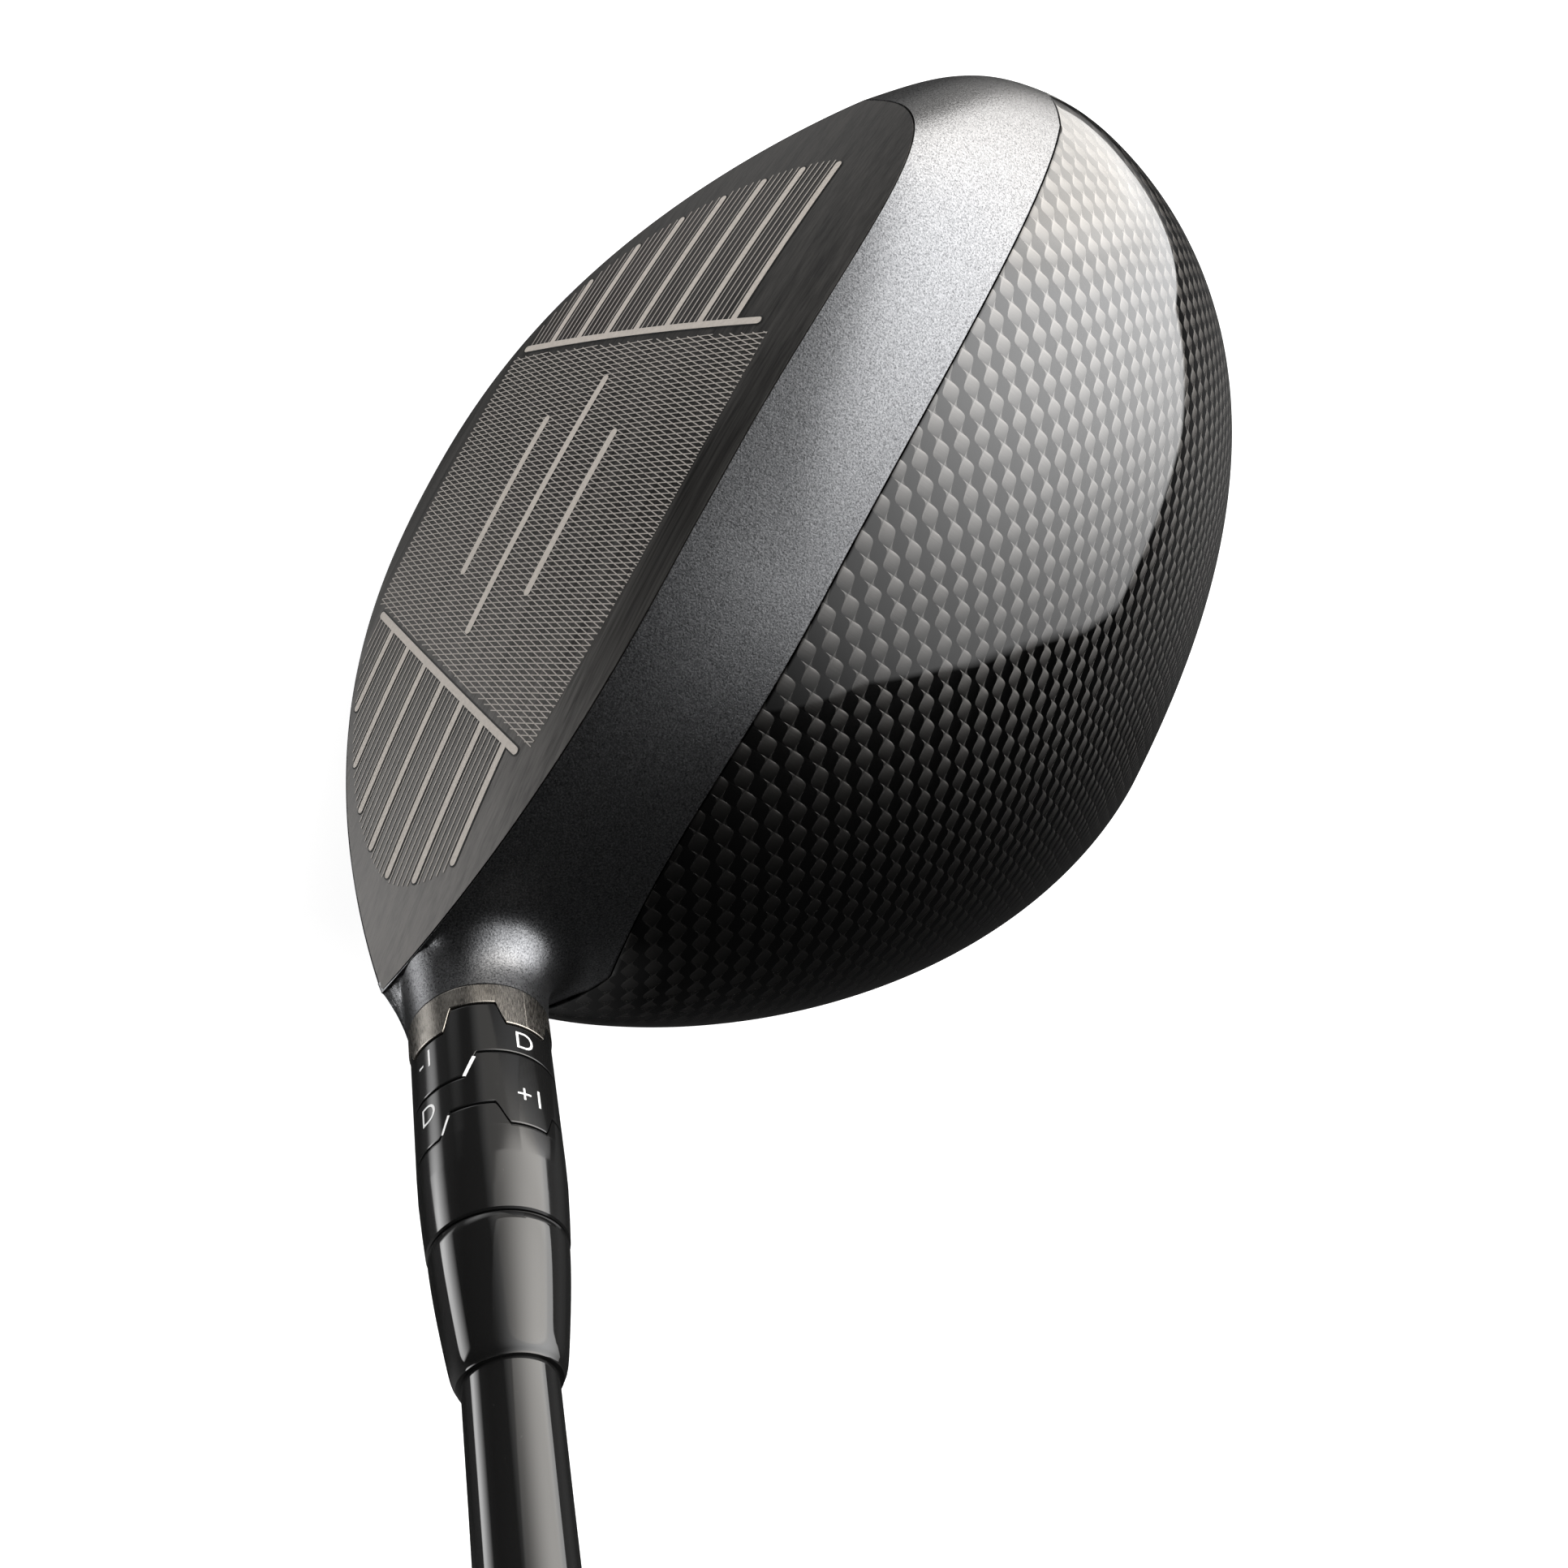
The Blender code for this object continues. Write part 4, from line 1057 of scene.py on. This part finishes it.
def shaft_and_grip(lacquer, rubber):
    stations = np.linspace(0.004, BUTT - 0.004, 120)
    profile = [(0.0031, 0.004)] + [(shaft_radius(s), s) for s in stations] + [(0.0062, BUTT - 0.004)]
    lathe("shaft_skin", profile, lacquer, "club_shaft", ("shaft",), count=96, soft=0)
    mouth = BUTT - GRIP_LENGTH
    count, rows = ((224, 420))
    grid, end = [], BUTT - 0.0061
    for k in range(rows + 1):
        s = mouth + (end - mouth) * k / rows
        part = (s - mouth) / (GRIP_LENGTH - 0.006)
        base = GRIP_MOUTH_R + (GRIP_BUTT_R - GRIP_MOUTH_R) * min(1.0, part) ** 1.15
        row = []
        for j in range(count):
            angle = 2 * math.pi * j / count
            row.append(hosel_at(s, base - 0.00032 * grip_groove(part, angle), angle))
        grid.append(row)
    first = [hosel_at(mouth, 0.0079, 2 * math.pi * j / count) for j in range(count)]
    last = [hosel_at(end + 0.0001, 0.0080, 2 * math.pi * j / count) for j in range(count)]
    grid = np.array([first] + grid + [last])
    grid_piece("grip_skin", grid, True, rubber, "club_shaft", ("grip",), sharp=50)
    top = GRIP_BUTT_R
    cap = [(0.0080, BUTT - 0.0059), (top, BUTT - 0.0057), (top - 0.00002, BUTT - 0.0040),
           (top - 0.0002, BUTT - 0.0020), (top - 0.0008, BUTT - 0.0009), (top - 0.0018, BUTT - 0.0003),
           (top - 0.0032, BUTT), (0.0062, BUTT), (0.0060, BUTT - 0.0003), (0.0056, BUTT - 0.0003),
           (0.0054, BUTT), (0.0013, BUTT), (0.0012, BUTT - 0.0030)]
    lathe("grip_cap_skin", cap, rubber, "club_shaft", ("grip_cap",), soft=0.0001)


def grip_groove(part, angle):
    """How deep the grip's pattern is: slanted grooves in two bands and rings at both ends, from 0 to 1."""
    def valley(value, width):
        return max(0.0, 1 - abs((value % 1.0) - 0.5) / width)
    if part < 0.03 or part > 0.97:
        return 0.0
    if part < 0.06 or part > 0.94:
        return valley(part * 90, 0.25)
    lean = valley(part * 55 + angle / (2 * math.pi) * 8, 0.14)
    cross = valley(part * 55 - angle / (2 * math.pi) * 8, 0.14)
    band = 0.5 + 0.5 * math.cos(2 * angle)
    return max(lean, cross) * min(1.0, max(0.0, band * 2.2 - 0.5))


# ---- CAD nodes that stay on view -----------------------------------------------------------------


def dress(names, look):
    for name in names:
        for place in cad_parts[name].material_slots:
            place.material = look


# ---- The stage -----------------------------------------------------------------------------------

MAIN_LIGHT, STRIP_LIGHT, DIM_LIGHT = 8.8, 6.0, 0.022
FLOOR_SIZE, FLOOR_DROP, BACKDROP_R = 16, 0.0004, 7.9


def along(w, axes, direction):
    """How far the world's direction goes along another one, from -1 to 1."""
    return w.plus(*(w.times(axis, part) for axis, part in zip(axes, direction)))


def studio_light():
    """A dark studio with one large soft light over the toe, a low strip in front and dim glows."""
    world = bpy.data.worlds.new("studio")
    world.use_nodes = True
    w = Nodes("studio", world.node_tree)
    toward = w.add("ShaderNodeSeparateXYZ")
    w.join(w.add("ShaderNodeTexCoord").outputs["Generated"], toward.inputs[0])
    axes = x, y, z = toward.outputs
    toe = w.times(x, -1.0)

    # The large light ends at a slightly bent edge on the heel side and at a sill just above the horizon.
    bend = w.times(w.ramp(z, 0.19, 0.70), w.ramp(z, 0.96, 0.86))
    edge = w.math("SUBTRACT", along(w, axes, (-0.920, -0.319, 0.225)), w.times(bend, 0.085))
    dip = w.times(w.ramp(toe, 0.69, 0.82), w.ramp(y, 0.12, 0.27), 0.35)
    sill = w.plus(z, w.times(w.ramp(toe, 0.32, 0.52), 0.10), dip, w.times(w.ramp(toe, 0.70, 0.90), 0.06))
    lobe = w.math("POWER", w.math("MAXIMUM", along(w, axes, (-0.88, 0.30, 0.37)), 0.0), 3.4)
    inner = w.plus(w.times(w.ramp(toe, 0.80, 0.835), 0.20), 1.0)
    drop = w.math("SUBTRACT", 1.0, w.times(w.ramp(toe, 0.55, 0.90), 0.25))
    main = w.times(w.ramp(edge, -0.008, 0.008), w.ramp(sill, 0.055, 0.075), inner, drop, lobe, MAIN_LIGHT)

    across = along(w, axes, (0.901, 0.389, -0.190))
    beside = w.times(w.ramp(across, -0.20, 0.10), w.ramp(across, 0.215, 0.195))
    upright = w.times(w.ramp(z, -0.35, -0.45), w.ramp(z, -0.89, -0.78), w.ramp(y, -0.25, -0.40))
    strip = w.times(beside, upright, STRIP_LIGHT)

    floor_glow = w.plus(w.times(w.ramp(toe, 0.30, 0.55), 1.9), 0.13)
    low = w.times(w.ramp(z, -0.45, -0.75), w.ramp(y, -0.10, -0.50), floor_glow)
    heel = w.times(w.ramp(x, 0.45, 0.85), w.ramp(z, 0.25, -0.10), w.ramp(y, 0.70, 0.40), 0.35)
    under = w.times(w.ramp(toe, 0.72, 0.84), w.ramp(z, -0.02, -0.10), 0.8)
    behind = w.times(w.ramp(y, 0.45, 0.85), w.ramp(z, 0.05, -0.15), w.ramp(toe, 0.20, 0.50), 0.15)

    background = world.node_tree.nodes["Background"]
    w.put(background.inputs["Color"], w.mix(w.ramp(toe, 0.74, 0.88), gray(1.0), (1.0, 0.970, 0.925, 1.0)))
    w.put(background.inputs["Strength"], w.plus(main, strip, low, heel, under, behind, DIM_LIGHT))
    bpy.context.scene.world = world


def stage():
    spot = (0, 0, -FLOOR_DROP)
    bpy.ops.mesh.primitive_grid_add(x_subdivisions=2, y_subdivisions=2, size=FLOOR_SIZE, location=spot)
    floor = bpy.context.object
    floor.name = "floor"
    floor.data.materials.append(floor_material())
    floor.visible_glossy = False
    floor.visible_shadow = False
    bpy.ops.mesh.primitive_uv_sphere_add(segments=64, ring_count=32, radius=BACKDROP_R)
    backdrop = bpy.context.object
    backdrop.name = "backdrop"
    backdrop.data.materials.append(Nodes("pale_backdrop").set(
        base_color=gray(0.0),
        specular_ior_level=0.0,
        roughness=1.0,
        emission_color=gray(1.0),
        emission_strength=1.0,
    ))
    for kind in ("diffuse", "glossy", "transmission", "volume_scatter", "shadow"):
        setattr(backdrop, "visible_" + kind, False)
    bpy.context.scene.view_settings.view_transform = "Standard"
    studio_light()


def camera():
    right = Vector((-0.46119349597667486, 0.7201124020088331, 0.518400123207819))
    down = Vector((0.8822964954426665, 0.43413943993590703, 0.18186764644027817))
    forward = Vector((-0.09409279142634586, 0.5412587876101469, -0.8355749346625905))
    lens = bpy.data.cameras.new("camera")
    lens.lens = 42.438
    lens.sensor_width = 36
    lens.clip_start = 0.001
    lens.clip_end = 50
    view = bpy.data.objects.new("camera", lens)
    bpy.context.scene.collection.objects.link(view)
    place = Matrix((right, -down, -forward)).transposed().to_4x4()
    place.translation = (0.0334077, -0.0945768, 0.2165828)
    view.matrix_world = place
    bpy.context.scene.camera = view


def main():
    paint = paint_material()
    black = lacquer_material("black_gloss_ring", 0.006)
    groove_shadow_paint = painted_groove_shadow_material()
    head_band(paint)
    face_pieces(face_material(), ivory_material(), fine_line_material(), groove_shadow_paint)
    skirt = lacquer_material("skirt_gloss", 0.008, 0.16)
    head_panels(carbon_material(), carbon_material("sole_weave", False), skirt)
    hosel_parts(titanium_material(), black, mark_material(), groove_shadow_paint)
    sleeve_and_ferrule(black, lacquer_material("ferrule_gloss", 0.006, 0.03))
    shaft_and_grip(lacquer_material("shaft_gloss", 0.006, 0.03), rubber_material())
    steel = metal_material("turned_steel", 0.42)
    dress(("front_weight", "rear_weight"), metal_material("tungsten", 0.16, 0.02, 0.34))
    dress(("front_screw", "rear_screw", "hosel_bolt", "bolt_washer"), steel)
    dress(("bolt_seat", "bolt_keeper", "tip_plug"), steel)
    dress(("front_port", "rear_port", "hosel_tube"), metal_material("machined_aluminium", 0.42, 0.0, 0.34))
    dress(("shaft_adapter",), black)
    dress(("grip_tape",), metal_material("tape", 0.5, 0.05, 0.8))
    camera()
    stage()
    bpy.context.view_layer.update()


main()
